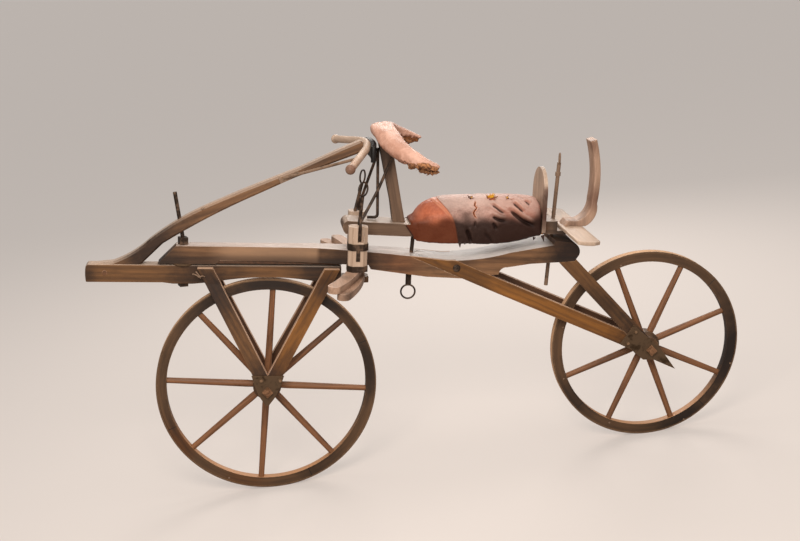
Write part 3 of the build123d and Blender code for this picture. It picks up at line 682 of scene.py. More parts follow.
# the hoops: pale tan for dust and a painted reflection from above, dark painted shade on their sides and
# edges
hoop_iron_dust_and_painted_light = iron("hoop iron, dust and painted light", (176, 138, 104), 1.2, (206, 162, 122), (54, 38, 26), (0.0125, 0.0138))
plate_iron = iron("plate iron", (70, 53, 36), 1.1, (86, 64, 42), (140, 108, 80), (0.0795, 0.0805))
nut_iron = iron("nut iron", (112, 80, 56), 1.0, (134, 94, 64), (190, 150, 116))


def dress(piece, material, body="frame"):
    """Gives a new piece its material and the body that it rides on."""
    coat(piece, material)
    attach(piece, body)


IRONS = (
    (black_iron, ("post_irons_near", "post_irons_far", "arm_stay_near", "arm_stay_far", "arm_brace",
                  "saddle_screw_front", "steering_pin", "eye_screw_near", "eye_screw_far")),
    (brown_iron, ("saddle_screw_rear", "handle_stay_near", "handle_stay_far")),
    (hoop_iron_dust_and_painted_light, ("front_tyre", "rear_tyre")),
    (plate_iron, ("front_plate_near", "front_plate_far", "rear_plate_near", "rear_plate_far",
                  "turning_plate")),
    (nut_iron, ("front_axle", "rear_axle")),
)
for metal, members in IRONS:
    for name in members:
        coat(nodes[name], metal)
print("iron nodes:", sum(len(members) for _, members in IRONS))

# %% [markdown]
# ## Stuffed leather
# A plain solid looks like a block. So each soft solid is copied, remeshed into even
# squares, and filled by Cloth pressure for twenty frames, as hay fills a sewn bag. The
# parts that rest on wood are held still, and no point may move further than a cap.

# %% Filling a leather bag
STUFFING_FRAMES = 20


def merged_copy(name, node, inward):
    """A closed copy of a CAD node's mesh, drawn in a little along its normals."""
    bm = bmesh.new()
    bm.from_mesh(nodes[node].data)
    bmesh.ops.remove_doubles(bm, verts=bm.verts, dist=1e-5)
    bmesh.ops.recalc_face_normals(bm, faces=bm.faces)
    bm.normal_update()
    for vert, normal in [(v, v.normal.copy()) for v in bm.verts]:
        vert.co -= normal * inward
    return new_object(name, bm)


def shade_smooth(piece):
    for polygon in piece.data.polygons:
        polygon.use_smooth = True


def settled(piece):
    """Turns the piece's modifiers into its own mesh."""
    graph = bpy.context.evaluated_depsgraph_get()
    mesh = bpy.data.meshes.new_from_object(piece.evaluated_get(graph))
    piece.modifiers.clear()
    piece.data = mesh
    shade_smooth(piece)


def calm(piece, chosen, times):
    """Irons out bumps: each chosen point moves to the middle of its neighbours, again and again."""
    bm = bmesh.new()
    bm.from_mesh(piece.data)
    verts = [v for v in bm.verts if chosen(woodwork(v.co))]
    for _ in range(times):
        bmesh.ops.smooth_vert(bm, verts=verts, factor=0.5,
                              use_axis_x=True, use_axis_y=True, use_axis_z=True)
    bm.to_mesh(piece.data)
    bm.free()


def fill(piece, voxel, held, pressure, cap, rounded=None, times=0):
    """Remeshes the piece and blows it up by cloth pressure, with some points held.

    Corners of the plain solid that the rounded test picks are ironed out before it is made finer.
    """
    squares = piece.modifiers.new("squares", "REMESH")
    squares.mode, squares.voxel_size = "VOXEL", voxel
    settled(piece)
    group = piece.vertex_groups.new(name="held")
    group.add([v.index for v in piece.data.vertices if held(woodwork(v.co))], 1.0, "REPLACE")
    before = [v.co.copy() for v in piece.data.vertices]
    cloth = piece.modifiers.new("stuffing", "CLOTH")
    cloth.settings.vertex_group_mass = "held"
    cloth.settings.use_pressure = True
    cloth.settings.uniform_pressure_force = pressure
    cloth.settings.effector_weights.gravity = 0
    cloth.point_cache.frame_start, cloth.point_cache.frame_end = 1, STUFFING_FRAMES
    for step_ in range(STUFFING_FRAMES):
        scene.frame_set(step_ + 1)
    settled(piece)
    for vert, start in zip(piece.data.vertices, before):
        move = vert.co - start
        if move.length > cap:
            vert.co = start + move * (cap / move.length)
    if rounded:
        calm(piece, rounded, times)
    finer = piece.modifiers.new("finer", "SUBSURF")
    finer.levels = finer.render_levels = 1
    settled(piece)
    print(piece.name, "has", len(piece.data.polygons), "faces")


# %% [markdown]
# Old leather lies in folds. Each fold is a short path of points near the skin, with a width
# and a depth: points of the skin sink in along the path, and a lip swells up beside it.

# %% Folds


def smooth(value, low, high):
    """0 below low, 1 above high, and a smooth slope between them."""
    share = max(0.0, min(1.0, (value - low) / (high - low)))
    return share * share * (3 - 2 * share)


def mark(piece, rows):
    """Keeps one number per point in each named attribute, for the material to read."""
    for name, values in rows.items():
        piece.data.attributes.new(name, "FLOAT", "POINT").data.foreach_set("value", values)


def from_line(point, start, end):
    """Distance of a point from a straight line piece, and how far along it lies, 0 to 1."""
    along = end - start
    share = max(0.0, min(1.0, (point - start).dot(along) / along.length_squared))
    return (point - start - along * share).length, share


def from_path(point, path):
    """Distance of a point from a path of straight pieces, and how far along it lies, 0 to 1."""
    rows = [(*from_line(point, a, b), i) for i, (a, b) in enumerate(zip(path, path[1:]))]
    gap_, share, i = min(rows)
    return gap_, (share + i) / len(rows)


FLANK = 45             # from here outwards, in millimetres, y hardly counts for a fold
FLANK_SHARE = 0.12


def squashed(point):
    """The point with the outer part of its y cut down, so a path a little off the skin still marks it."""
    x, y, z = point
    return V((x, math.copysign(min(abs(y), FLANK) + FLANK_SHARE * max(0, abs(y) - FLANK), y), z))


def fold_depth(point, folds):
    """How far in, in millimetres, the folds press a point. A lip stands up beside each."""
    total = 0.0
    for width, depth, *path in folds:
        if (V(path[0]) - point).length < 130:
            gap_, share = from_path(squashed(point), [squashed(place_) for place_ in path])
            fade = min(1, 4 * share + 0.2, 4 * (1 - share) + 0.1)
            start, end = V(path[0]), V(path[-1])
            ahead = (point.x - start.x) * (end.z - start.z) - (point.z - start.z) * (end.x - start.x) < 0
            lip = 0.45 if ahead else 0.1
            total += depth * fade * (math.exp(-(gap_ / width) ** 2)
                                     - lip * math.exp(-((gap_ - 2.1 * width) / width) ** 2))
    return total


# %% [markdown]
# The saddle is a bag of leather in two parts: a smooth orange nose, and a main cover that
# overlaps it and has gone grey-brown, cracked and folded.

# %% Saddle cushion


def on_board(p):
    """True where the cushion rests on the saddle board."""
    return abs(p.y) < 49 and p.z < 97 or p.z < 44


cushion = merged_copy("saddle_leather", "saddle_cushion", 0.0035)


def on_show(p):
    """True on the cushion's outside, away from its lower edge and the board."""
    return p.z > (62 if p.x < 765 else 76) and not (abs(p.y) < 49 and p.z < 99)


fill(cushion, 0.004, on_board, 4.0, 0.012, on_show, 45)
SADDLE_FOLDS = (   # width and depth in millimetres, then points along the fold
    (3.4, 6.5, (996, -66, 153), (1012, -82, 140), (1026, -89, 128)),
    (5.4, 10.0, (986, -86, 132), (1004, -92, 119), (1020, -93, 107), (1040, -93, 97), (1062, -92, 88)),
    (3.4, 5.5, (930, -76, 146), (940, -81, 141), (953, -87, 132), (968, -90, 124)),
    (4.2, 8.0, (930, -91, 115), (942, -93, 109), (952, -93, 105), (972, -93, 103)),
    (3.8, 6.0, (930, -93, 98), (938, -92, 88), (943, -92, 80)),
    (4.4, 7.5, (851, -92, 79), (860, -92, 65), (870, -92, 47)),
    (3.0, 4.0, (986, -40, 163), (1004, -56, 159)),
    (3.4, 3.5, (877, -93, 102), (877, -93, 84)),
    (4.0, 5.0, (1034, -60, 160), (1050, -76, 146)),
    (4.4, 3.4, (905, -92, 74), (926, -93, 56), (934, -90, 46)),
    (4.2, 5.5, (990, 58, 158), (1012, 88, 130), (1044, 93, 98)),
    (4.4, 4.6, (900, 60, 155), (926, 90, 122), (955, 93, 92)),
    (4.0, 4.0, (946, 84, 136), (968, 93, 96), (988, 90, 62)),
    (4.2, 4.0, (1036, 60, 156), (1062, 88, 116), (1080, 90, 92)),
    (6.0, 1.8, (870, 0, 168), (900, 62, 155)),
    (6.0, 1.8, (1000, 10, 168), (1040, -50, 162)),
)
CRACK = (2.4, 4.4, (880, -71, 151), (877, -80, 142), (883, -84, 137), (872, -89, 125), (874, -92, 117),
         (881, -93, 107))
TORN_SPOTS = (   # place of a torn hole in the cover, how long it is
    (V((868, -34, 164)), 8), (V((932, -32, 166)), 17), (V((983, -36, 164)), 8),
)


def seam_at(p):
    """How far, in millimetres, a point lies behind the seam between nose and cover."""
    return p.x - (779 + 0.33 * (151 - p.z) + 12 * smooth(160 - p.z, 0, 60) - 10 * math.cos(p.y / 40))


def band_width(p):
    """Width, in millimetres, of the folded-over strip in front of the seam. It narrows downwards."""
    return 4 + 17 * smooth(p.z, 80, 160)


def skirt(x):
    """How far down the leather hangs past the plain solid's lower edge, in millimetres."""
    return 13 - 8 * smooth(x, 930, 1090) if x > 720 else 8 + 5 * smooth(x, 690, 720)


def crack_x(z):
    """Where the crack lies at this height, along its zigzag."""
    path = CRACK[2:]
    for upper_, lower_ in zip(path, path[1:]):
        if z >= lower_[2]:
            break
    share = max(0.0, min(1.0, (upper_[2] - z) / (upper_[2] - lower_[2])))
    return upper_[0] + share * (lower_[0] - upper_[0])


cover, holed, shade, band, crease, beside, along = ([] for _ in range(7))
normals = [n.vector.copy() for n in cushion.data.vertex_normals]
for vert, normal in zip(cushion.data.vertices, normals):
    p = woodwork(vert.co)
    behind = seam_at(p)
    outer = smooth(behind, -1.5, 1.5)
    holes = max(smooth(size_ * 0.8 - (p - place_).length + 3 * noise.noise(p / 5), 0, 3)
                for place_, size_ in TORN_SPOTS)
    lift = 1.4 + 1.8 * outer - 1.4 * math.exp(-((behind + 3) / 2.4) ** 2) - 4.0 * holes
    lift += 1.1 * smooth(behind + band_width(p), -1.5, 1.5) * (1 - outer)
    folded = fold_depth(p, SADDLE_FOLDS) * outer
    lift -= 1.35 * folded + fold_depth(p, (CRACK,))
    lift += 0.7 * outer * noise.noise(p / 16) + 0.35 * noise.noise(p / 6)
    if not on_board(p) or p.x < 712:
        vert.co += normal * (lift / 1000)
    hang = skirt(p.x) * smooth(92 - p.z, 0, 45) * smooth(abs(p.y), 40, 50)
    forward = 12 * smooth(775 - p.x, 0, 75) * smooth(100 - p.z, 0, 14)
    vert.co += TURNED @ V((-forward, 0, -hang)) / 1000
    dusk = 134 + 9 * smooth(p.x, 1030, 1070) - 16 * smooth(780 - p.x, -30, 40)
    cover.append(outer)
    holed.append(holes)
    shade.append(smooth(dusk - p.z + 14 * noise.noise(p / 34), 0, 44))
    band.append(smooth(behind + band_width(p), -1, 1) * (1 - outer))
    crease.append(max(0, min(1, 0.5 + folded / 9)))
    beside.append(p.x - crack_x(p.z))
    along.append(smooth(p.z, 106, 116) * smooth(156 - p.z, 0, 10) * smooth(-p.y, 30, 50))
mark(cushion, {"cover": cover, "holed": holed, "shade": shade, "band": band, "crease": crease,
               "beside": beside, "along": along})

# %% [markdown]
# The marks steer the colours: orange in front of the seam and grey-brown behind it, with painted
# shade darker towards the floor, painted shade in the creases of the folds and a painted highlight
# on their lips. The crack is drawn from the distance beside its path, as three lines one on the
# other: a pale rim, orange, and a dark core of painted shade. A noise frays them.

# %% Saddle leather
CRACK_LINES = (   # outer and inner distance from the path in millimetres, colour
    (6.0, 5.0, (204, 160, 138)), (4.9, 4.2, (176, 96, 52)), (3.3, 2.6, (52, 24, 14)),
)


def leather(paint, light, dark, age):
    """The leather grain in two colours of its own."""
    return paint.use(hide, Vector=paint.where, Light=linear(light), Dark=linear(dark), Age=age)


paint = Finish("saddle leather")
nose = leather(paint, (208, 124, 88), (168, 88, 60), 0.25)
main = leather(paint, (194, 153, 139), (134, 98, 86), 0.9)
low_part, fold_ = paint.attribute("shade"), paint.attribute("crease")
rearward = ruler(paint, (1, 0, 0))
redder = paint.step(rearward, 880, 980)
upper = paint.tint(main["Color"], redder, 0.65, (164, 104, 84))
# painted sheen: the cover's upward faces are paler, lit from above, less so on the redder rear
top_sheen_share = paint.minus(0.55, paint.times(redder, 0.12))
deep = paint.tint(upper, facing_up(paint, 0.35, 0.85), top_sheen_share, (214, 186, 174))
# painted highlight on the lips of the folds
deep = paint.tint(deep, paint.step(fold_, 0.47, 0.2), 0.35, (212, 164, 142))
# painted shade: the cover darkens towards the floor
deep = paint.tint(deep, low_part, 0.95, (32, 13, 6))
# painted shade in the creases of the folds
deep = paint.tint(deep, paint.step(fold_, 0.56, 0.9), 0.85, (32, 15, 10))
# the folded-over strip in front of the seam is paler: its own leather edge, with a painted highlight along
# it
lighter = paint.tint(nose["Color"], paint.attribute("band"), 0.6, (204, 134, 102))
# painted shade: the nose darkens towards the floor
amber = paint.tint(lighter, low_part, 0.88, (76, 32, 11))
maroon = paint.times(paint.step(rearward, 735, 700), 0.45)
amber = paint.tint(amber, maroon, paint.minus(1.0, low_part), (168, 108, 90))
covered = paint.attribute("cover")
colour = paint.mix(covered, amber, deep)
torn_ = paint.attribute("holed")
colour = paint.mix(paint.step(torn_, 0.02, 0.2), colour, linear((70, 34, 22)))
colour = paint.mix(paint.step(torn_, 0.55, 0.8), colour, linear((188, 106, 66)))
frayed = paint.times(paint.minus(paint.noise(paint.where, 190, 4, 0.65), 0.5), 9)
frayed = paint.math("ABSOLUTE", paint.plus(paint.attribute("beside"), frayed))
gap_ = paint.plus(frayed, paint.times(paint.noise(paint.where, 75, 2), 3.4))
near_crack, on_side = paint.times(gap_, -1), paint.attribute("along")
# the dark core is painted shade in the sunken crack
for outer_, inner_, code in CRACK_LINES:
    colour = paint.tint(colour, paint.step(near_crack, -outer_, -inner_), on_side, code)
rough = paint.plus(nose["Roughness"], paint.times(covered, 0.14))
height = paint.times(main["Height"], paint.plus(0.3, paint.times(covered, 0.7)))
saddle_leather = paint.finish(colour, rough, height, 0.45, 0.0012)
paint.shader.inputs["Coat Weight"].default_value = 0.06
paint.shader.inputs["Specular IOR Level"].default_value = 0.2
paint.shader.inputs["Coat Roughness"].default_value = 0.35
dress(cushion, saddle_leather)
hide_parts("saddle_cushion")

# %% [markdown]
# The arm rest is a stuffed crescent. Its rosy leather is torn open under both ends: there
# the surface sinks behind a ragged lip, and lumps of twisted straw fill the hole.

# %% Arm rest
ARM_LINE = (   # middle line of the crescent, from its middle to one end
    V((594, 0, 361)), V((609, 110, 345)), V((644, 196, 318)), V((692, 238, 297)), V((729, 250, 280)),
)


def on_post(p):
    """True where the arm rest sits on its post."""
    return abs(p.y) < 30 and p.z < 350


def arm_axis(p):
    """The nearest point of the arm rest's middle line, on the same side as p."""
    q = V((p.x, abs(p.y), p.z))
    rows = [(from_line(q, a, b), a, b) for a, b in zip(ARM_LINE, ARM_LINE[1:])]
    (_, share), a, b = min(rows, key=lambda row: row[0][0])
    middle = a + (b - a) * share
    return V((middle.x, math.copysign(middle.y, p.y), middle.z))


def tear_at(p, start):
    """How far, in millimetres, a point lies inside the tear that starts at this x."""
    axis = arm_axis(p)
    border = axis.z - 5 + 0.17 * (p.x - start - 10)
    outside = axis.y - p.y + 9
    return min(border - p.z, (p.x - start) * 0.5, outside) + 5 * noise.noise(p / 7)


TEAR_START = {-1: 636, 1: 650}
arm_pad = merged_copy("arm_leather", "arm_rest", 0.0065)
fill(arm_pad, 0.005, on_post, 4.0, 0.010)
normals = [n.vector.copy() for n in arm_pad.data.vertex_normals]
torn = []
for vert, normal in zip(arm_pad.data.vertices, normals):
    p = woodwork(vert.co)
    inside = tear_at(p, TEAR_START[1 if p.y > 0 else -1])
    open_ = smooth(inside, 0, 2.5)
    lip = math.exp(-((inside + 2) / 2.5) ** 2)
    lift = 1.2 * noise.noise(p / 26) + 0.5 * noise.noise(p / 9) + 2.0 * lip - 5.5 * open_
    longer = 13 * smooth(p.x, 660, 735) if p.y > 150 else 0
    top_share = smooth(p.z - arm_axis(p).z, -16, 10)
    raised = 14 * smooth(p.y, 95, 190) * top_share
    sagged = 9 * smooth(-p.y, 35, 120) * (1 - top_share) * (1 - 0.6 * smooth(p.x, 690, 730))
    ahead = sagged * 0.7 * (1 - smooth(p.x, 600, 640))
    vert.co += normal * (lift / 1000) + TURNED @ V((longer - ahead, 0, raised - sagged)) / 1000
    torn.append(open_)
mark(arm_pad, {"torn": torn})

# %% Arm leather
paint = Finish("arm leather")
skin = leather(paint, (218, 172, 151), (188, 139, 117), 0.5)
lining = paint.noise(paint.stretch(paint.where, (60, 60, 160)), 3.0, 5, 0.7)
lining = paint.mix(paint.step(lining, 0.35, 0.65), linear((70, 38, 20)), linear((168, 104, 54)))
# painted shade: the far arm's inner side below its middle, and every face turned downwards, are darker
inner = paint.times(paint.step(ruler(paint, (0, 1, 0)), 180, 225), facing_up(paint, 0.3, -0.1))
shaded_skin = paint.tint(skin["Color"], inner, 0.6, (128, 78, 60))
shaded_skin = paint.tint(shaded_skin, facing_up(paint, 0.15, -0.5), 0.6, (140, 88, 64))
colour = paint.mix(paint.attribute("torn"), shaded_skin, lining)
dress(arm_pad, paint.finish(colour, skin["Roughness"], skin["Height"], 0.35, 0.001))
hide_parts("arm_rest")

# %% [markdown]
# ## Straw and hair
# A lump starts as a ball of triangles. Ridges are pressed into it before it is stretched
# along its own direction, so it looks like a twist of straw.

# %% Lumps and strands


def lump(bm, centre, along, long_, thick, seed):
    """A twisted lump of stuffing at a woodwork point, stretched along a direction."""
    made = bmesh.ops.create_icosphere(bm, subdivisions=4, radius=1)["verts"]
    for vert in made:
        co = vert.co
        spin_ = math.atan2(co.y, co.z) + co.x * 1.6
        ridge = 0.07 * math.sin(6 * spin_ + seed) + 0.03 * math.sin(13 * spin_ - 2 * seed)
        rough_ = 0.16 * noise.noise(co * 1.5 + V((seed, 0, 0)))
        rough_ += 0.05 * noise.noise(co * 5 + V((0, seed, 0)))
        vert.co = co * (1 + ridge + rough_)
    turn_ = V((1, 0, 0)).rotation_difference(along.normalized()).to_matrix().to_4x4()
    size_ = Matrix.Diagonal((long_ / 2000, thick / 2000, thick / 2000, 1))
    place_ = WOODWORK @ Matrix.Translation(centre / 1000) @ turn_ @ size_
    bmesh.ops.transform(bm, matrix=place_, verts=made)


def wires(name, paths, radius_, round_=0):
    """Smooth round wires through woodwork points, as one mesh."""
    data = bpy.data.curves.new(name, "CURVE")
    data.dimensions, data.bevel_depth, data.bevel_resolution, data.resolution_u = "3D", radius_, round_, 4
    for path in paths:
        line = data.splines.new("NURBS")
        line.points.add(len(path) - 1)
        for point, place_ in zip(line.points, path):
            point.co = (*spot(*place_), 1)
        line.order_u, line.use_endpoint_u = 3, True
    data.use_fill_caps = True
    curve = bpy.data.objects.new(name, data)
    scene.collection.objects.link(curve)
    graph = bpy.context.evaluated_depsgraph_get()
    mesh = bpy.data.meshes.new_from_object(curve.evaluated_get(graph))
    bpy.data.objects.remove(curve)
    made = bpy.data.objects.new(name, mesh)
    scene.collection.objects.link(made)
    return made


def strands(name, roots, radius_):
    """Thin bent fibres as one mesh. Each root is a point, a direction and a length."""
    paths = []
    for root, way_, long_ in roots:
        here, heading = root.copy(), way_.normalized()
        paths.append([])
        for _ in range(4):
            paths[-1].append(here.copy())
            here += heading * (long_ / 3)
            heading += V([seeds.uniform(-0.6, 0.6) for _ in range(3)])
            heading.normalize()
    return wires(name, paths, radius_)


def stuffing(name, light, dark):
    """Straw or hair: fine stripes of light and dark."""
    paint = Finish(name)
    stripes = paint.noise(paint.stretch(paint.where, (220, 220, 500)), 1.0, 5, 0.7, 0.8)
    clumps = paint.noise(paint.where, 90.0, 3, 0.6)
    both_ = paint.plus(paint.times(stripes, 0.6), paint.times(clumps, 0.4))
    colour = paint.mix(paint.step(both_, 0.36, 0.64), linear(dark), linear(light))
    return paint.finish(colour, 0.85, stripes, 0.7, 0.0015)


orange_straw = stuffing("orange straw", (192, 132, 86), (58, 30, 20))
yellow_straw = stuffing("yellow straw", (255, 200, 52), (176, 104, 20))

# %% Straw under the arms


def on_skin(piece, x, side, angle):
    """A point of the arm rest's skin and its normal, at an angle below the outer side."""
    axis = arm_axis(V((x, side * (200 + 45 * smooth(x, 640, 700)), 318 - 0.44 * (x - 644))))
    reach_ = V((0, -math.cos(angle), -math.sin(angle))) * 60
    _, place_, normal, _ = piece.closest_point_on_mesh(spot(*(axis + reach_)))
    return woodwork(place_), TO_WOODWORK.to_3x3() @ normal


bm = bmesh.new()
roots = []
for side, count in ((-1, 9), (1, 7)):
    first = TEAR_START[side] + 6
    for row_, angle in enumerate((0.3, 0.75, 1.25)):
        for i in range(count):
            share = (i + 0.4 * row_) / count
            if row_ == 0 and share < 0.3:
                continue
            skin_, normal = on_skin(arm_pad, first + (718 - first) * share, side, angle)
            centre = skin_ - normal * (1.5 - 1.5 * math.sin(2.3 * i + row_))
            along = V((1, side * 0.2, -0.5 + 0.7 * math.sin(3.1 * i + row_)))
            long_, thick = 19 + 4 * math.sin(5.3 * i + row_), 10.5 + 2 * math.cos(2.9 * i)
            lump(bm, centre, along, long_, thick, 1.7 * i + side + row_)
            for _ in range(2):
                start_ = centre + normal * 3 + V([seeds.uniform(-4, 4) for _ in range(3)])
                lean = V((seeds.uniform(-1, 1), side * seeds.uniform(0, 0.6), seeds.uniform(-1, 0.3)))
                roots.append((start_, lean, 8))
arm_straw = new_object("arm_straw", bm)
arm_hair = strands("arm_straw_ends", roots, 0.0004)
for piece in (arm_straw, arm_hair):
    dress(piece, orange_straw)
shade_smooth(arm_straw)
print("straw under the arms:", len(arm_straw.data.polygons), "faces,", len(roots), "loose ends")

# %% [markdown]
# Three holes in the saddle cover let out tufts of yellow hay. Each hole has a few curled
# flaps of leather round it: a small grid, bent up by moving its points.

# %% Hay and torn flaps on the saddle


def flap(bm, root, out, up, wide, long_, curl):
    """A pointed strip of leather that starts at a root, runs out and curls up."""
    side_ = out.cross(up).normalized()
    made = bmesh.ops.create_grid(bm, x_segments=4, y_segments=6, size=0.5)["verts"]
    for vert in made:
        across, along = vert.co.x, vert.co.y + 0.5
        narrow = (1 - along) ** 0.7 if along < 1 else 0
        rise = curl * along * along + 0.6 * math.sin(9 * across + 4 * along)
        vert.co = spot(*(root + side_ * (across * wide * narrow) + out * (along * long_) + up * rise))


TORN_FLAPS = (   # root, direction, width, length and curl of the leather round the holes
    ((860, -31, 166), (1, -0.25, 0), 7, 13, 3), ((870, -38, 163), (1, -0.5, 0), 5, 8, 3),
    ((866, -28, 167), (-1, 0, 0), 6, 7, 3), ((942, -33, 166), (1, -0.35, 0.1), 11, 11, 5),
    ((924, -28, 167), (-1, 0.1, 0.1), 9, 8, 5), ((938, -43, 161), (0.7, -0.8, 0), 8, 8, 3),
    ((927, -43, 161), (-0.5, -0.9, 0), 7, 6, 3), ((976, -30, 166), (1, -0.1, 0.2), 6, 12, 6),
    ((976, -38, 163), (0.7, -0.8, 0), 6, 9, 5), ((988, -42, 161), (0.8, -0.4, 0), 5, 8, 3),
)
HANGING_TAGS = (   # root, lean and length of the pointed tags under the cushion
    ((833, -83, 36), 0.1, 17), ((1064, -80, 53), -0.2, 9), ((1089, -78, 59), 0.35, 20),
    ((872, 84, 36), 0.1, 12), ((1080, 80, 57), 0.3, 15), ((848, -84, 36), 0.2, 7),
)


def thicken(piece, thickness):
    """Gives a sheet of leather its thickness."""
    piece.modifiers.new("leather thickness", "SOLIDIFY").thickness = thickness


def round_off(piece):
    """Subdivides a piece once, so that its corners turn round."""
    rounder = piece.modifiers.new("rounder", "SUBSURF")
    rounder.levels = rounder.render_levels = 1


bm = bmesh.new()
flaps = bmesh.new()
roots = []
for i, (place_, size_) in enumerate(TORN_SPOTS):
    for k in range(7 if i == 1 else 1):
        angle = 2.1 * k + i
        offset_ = V((math.cos(angle), math.sin(angle) * 0.7, 0.3)) * (size_ * 0.33)
        lump(bm, place_ + offset_, V((1, math.sin(angle * 3), 0.4)), size_ * 0.7, size_ * 0.42, angle)
        for _ in range(4):
            lean = V((seeds.uniform(-1, 1), seeds.uniform(-1, 0.5), 0.7))
            roots.append((place_ + offset_, lean, size_ * 0.7))
for root, out, wide, long_, curl in TORN_FLAPS:
    flap(flaps, V(root), V(out).normalized(), V((0, -0.35, 1)), wide, long_, curl)
for root, lean, long_ in HANGING_TAGS:
    flap(flaps, V(root), V((lean, 0, -1)), V((0, math.copysign(1, root[1]), 0)), 11, long_, 2.0)
hay = new_object("saddle_hay", bm)
hay_ends = strands("saddle_hay_ends", roots, 0.0004)
leather_flaps = new_object("saddle_flaps", flaps)
thicken(leather_flaps, 0.0014)
round_off(leather_flaps)
paint = Finish("torn leather")
raw = leather(paint, (150, 96, 58), (72, 38, 22), 0.9)
# painted shade: the leather is darker low down, like the cushion's shaded lower part, so the hanging tags
# are dark
colour = paint.mix(paint.step(ruler(paint, (0, 0, 1)), 120, 80), raw["Color"], linear((52, 31, 23)))
torn_leather = paint.finish(colour, raw["Roughness"], raw["Height"], 0.4, 0.001)
for piece, material in ((hay, yellow_straw), (hay_ends, yellow_straw), (leather_flaps, torn_leather)):
    dress(piece, material)
    shade_smooth(piece)
print("flaps and tags:", len(TORN_FLAPS) + len(HANGING_TAGS))

# %% [markdown]
# In front of the cushion its leather is wrapped round the board and nailed along a slanted
# edge. A grid of points is laid on the board's side between four corners and bulged a little.

# %% Leather wrapped round the board


def patch(bm, corners, bulge):
    """A grid between four woodwork points, which swells in its middle towards its side."""
    made = bmesh.ops.create_grid(bm, x_segments=10, y_segments=10, size=0.5)["verts"]
    a, b, c, d = (V(corner) for corner in corners)
    for vert in made:
        s_, t_ = vert.co.x + 0.5, vert.co.y + 0.5
        here = (a * (1 - s_) + b * s_) * (1 - t_) + (d * (1 - s_) + c * s_) * t_
        swell = bulge * 4 * s_ * (1 - s_) * (1 - t_ * 0.4) + 0.8 * noise.noise(here / 9)
        vert.co = spot(here.x, here.y + math.copysign(swell, here.y), here.z)


bm = bmesh.new()
for side in (-1, 1):
    near_, out_ = side * 46.6, side * 60
    corners = ((668, near_, 78), (703, out_ - side * 5, 86), (728, out_, 44), (699, near_, 34))
    patch(bm, corners, 2.0)
lapel = new_object("saddle_lapel", bm)
thicken(lapel, 0.0016)
round_off(lapel)
points = [woodwork(vert.co) for vert in lapel.data.vertices]
rows = {name: [0.0] * len(points) for name in ("holed", "band", "crease", "beside", "along")}
# the lapels lie wholly in the cushion's painted shade
rows["shade"] = [1.0] * len(points)
rows["cover"] = [smooth(674 + 31 * (78 - p.z) / 44 - p.x, 0, 3) for p in points]   # a dark front edge
mark(lapel, rows)
dress(lapel, saddle_leather)
print("points on the lapels:", len(points))

# %% [markdown]
# Where the cushion ends, slivers of its amber lining show between the back and the board.

# %% Amber lining
bm = bmesh.new()
for side in (-1, 1):
    y = side * 48
    patch(bm, ((1086, y, 97), (1106, y, 94), (1096, y, 54), (1088, y, 58)), 1.2)
lining_bits = new_object("saddle_lining", bm)
thicken(lining_bits, 0.0016)
paint = Finish("amber lining")
raw = leather(paint, (206, 140, 70), (120, 70, 30), 0.8)
amber_lining = paint.finish(raw["Color"], raw["Roughness"], raw["Height"], 0.4, 0.001)
dress(lining_bits, amber_lining)
print("slivers of lining:", len(lining_bits.data.polygons), "faces")

# %% [markdown]
# ## Small irons
# Bolt heads, a bent spike and a few nails hold the woodwork. A head is a short cone whose
# rim is bevelled. It stands on a surface, along that surface's outward direction.

# %% Heads, pegs and nails


def head(bm, place_, outward, radius_, tall, sides_=24, soft=0.25):
    """A round or square head on a surface, with its foot sunk 1 mm into it."""
    turn_ = V((0, 0, 1)).rotation_difference(outward.normalized()).to_matrix().to_4x4()
    put = WOODWORK @ Matrix.Translation((place_ + outward.normalized() * (tall / 2 - 0.5)) / 1000) @ turn_
    made = bmesh.ops.create_cone(bm, cap_ends=True, segments=sides_, radius1=radius_ / 1000,
                                 radius2=radius_ * 0.9 / 1000, depth=(tall + 1) / 1000, matrix=put)["verts"]
    top = max({f for v in made for f in v.link_faces if len(f.verts) == sides_},
              key=lambda f: f.calc_center_median().dot(TURNED @ outward))
    bmesh.ops.bevel(bm, geom=list(top.edges), offset=radius_ * soft / 1000, offset_type="OFFSET",
                    segments=3, profile=0.5, affect="EDGES", material=-1)


bolts = bmesh.new()
for side in (-1, 1):
    outward = V((0, side, 0))
    head(bolts, V((831, side * 64.5, -52)), outward, 12, 3)
    head(bolts, V((831, side * 67.5, -52)), outward, 6, 1.5)
dress(new_object("perch_bolts", bolts), black_iron)

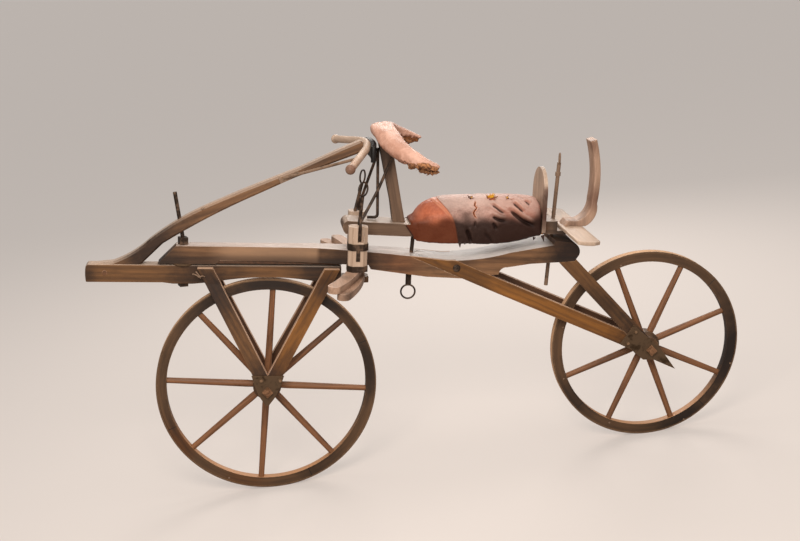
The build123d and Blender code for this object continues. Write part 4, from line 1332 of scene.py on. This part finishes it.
nails = bmesh.new()
for x, z, radius_ in ((59, 115, 4.5), (287, 209, 5), (324, 221, 5)):
    head(nails, V((x, -19, z)), V((0, -1, 0.35)), radius_, 2.4, 12)
dress(new_object("pole_nails", nails), brown_iron, body="front_carriage")

plug = bmesh.new()
head(plug, V((-231.5, -24, -86)), V((0, -1, 0)), 9, 1.2, soft=0.15)
dress(new_object("beam_dowel", plug), bpy.data.materials["front spokes wood"], "front_carriage")

SPIKE = (   # two bent prongs beside the front strut
    ((30, -46, -82), (40, -54, -80), (50, -56, -90), (58, -52, -84), (66, -47, -89)),
    ((40, -47, -74), (46, -53, -78), (54, -52, -92)),
)
dress(wires("strut_spike", SPIKE, 0.0021, 2), brown_iron, body="front_carriage")

SHADE_STRIP_AT = (0.284, 0, -0.0485)   # a dark wooden strip under the perch that stands in for the shade in the gap, in metres of woodwork
SHADE_STRIP_SIZE = (0.396, 0.047, 0.011, 1)
strip = WOODWORK @ Matrix.Translation(SHADE_STRIP_AT) @ Matrix.Diagonal(SHADE_STRIP_SIZE)
bm = bmesh.new()
bmesh.ops.create_cube(bm, size=1, matrix=strip)
bmesh.ops.bevel(bm, geom=bm.edges[:], offset=0.002, offset_type="OFFSET", segments=2,
                profile=0.5, affect="EDGES")
dress(new_object("perch_shade_strip", bm), bpy.data.materials["strut_front_far wood"])

FELLOE_NAILS = {
    "front": ((143, -758.5),),
    "rear": ((1194, -256), (1367, -52), (1762, -377), (1209, -429), (1624, -571), (1373, -581)),
}
for end, places in FELLOE_NAILS.items():
    nails = bmesh.new()
    for x, z in places:
        head(nails, V((x, -13, z)), V((0, -1, 0)), 3.2, 1.6, 10)
    dress(new_object(end + "_felloe_nails", nails), brown_iron, body=end + "_wheel")
print("nails in the felloes:", sum(len(places) for places in FELLOE_NAILS.values()))

# %% [markdown]
# ## Size
# Both boxes, the CAD one and the one with the looks, are printed side by side.

# %% Boxes, and the end
low_, high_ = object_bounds()
print("CAD box", [round(c, 4) for c in (*cad_low, *cad_high)])
print("visual box", [round(c, 4) for c in (*low_, *high_)])
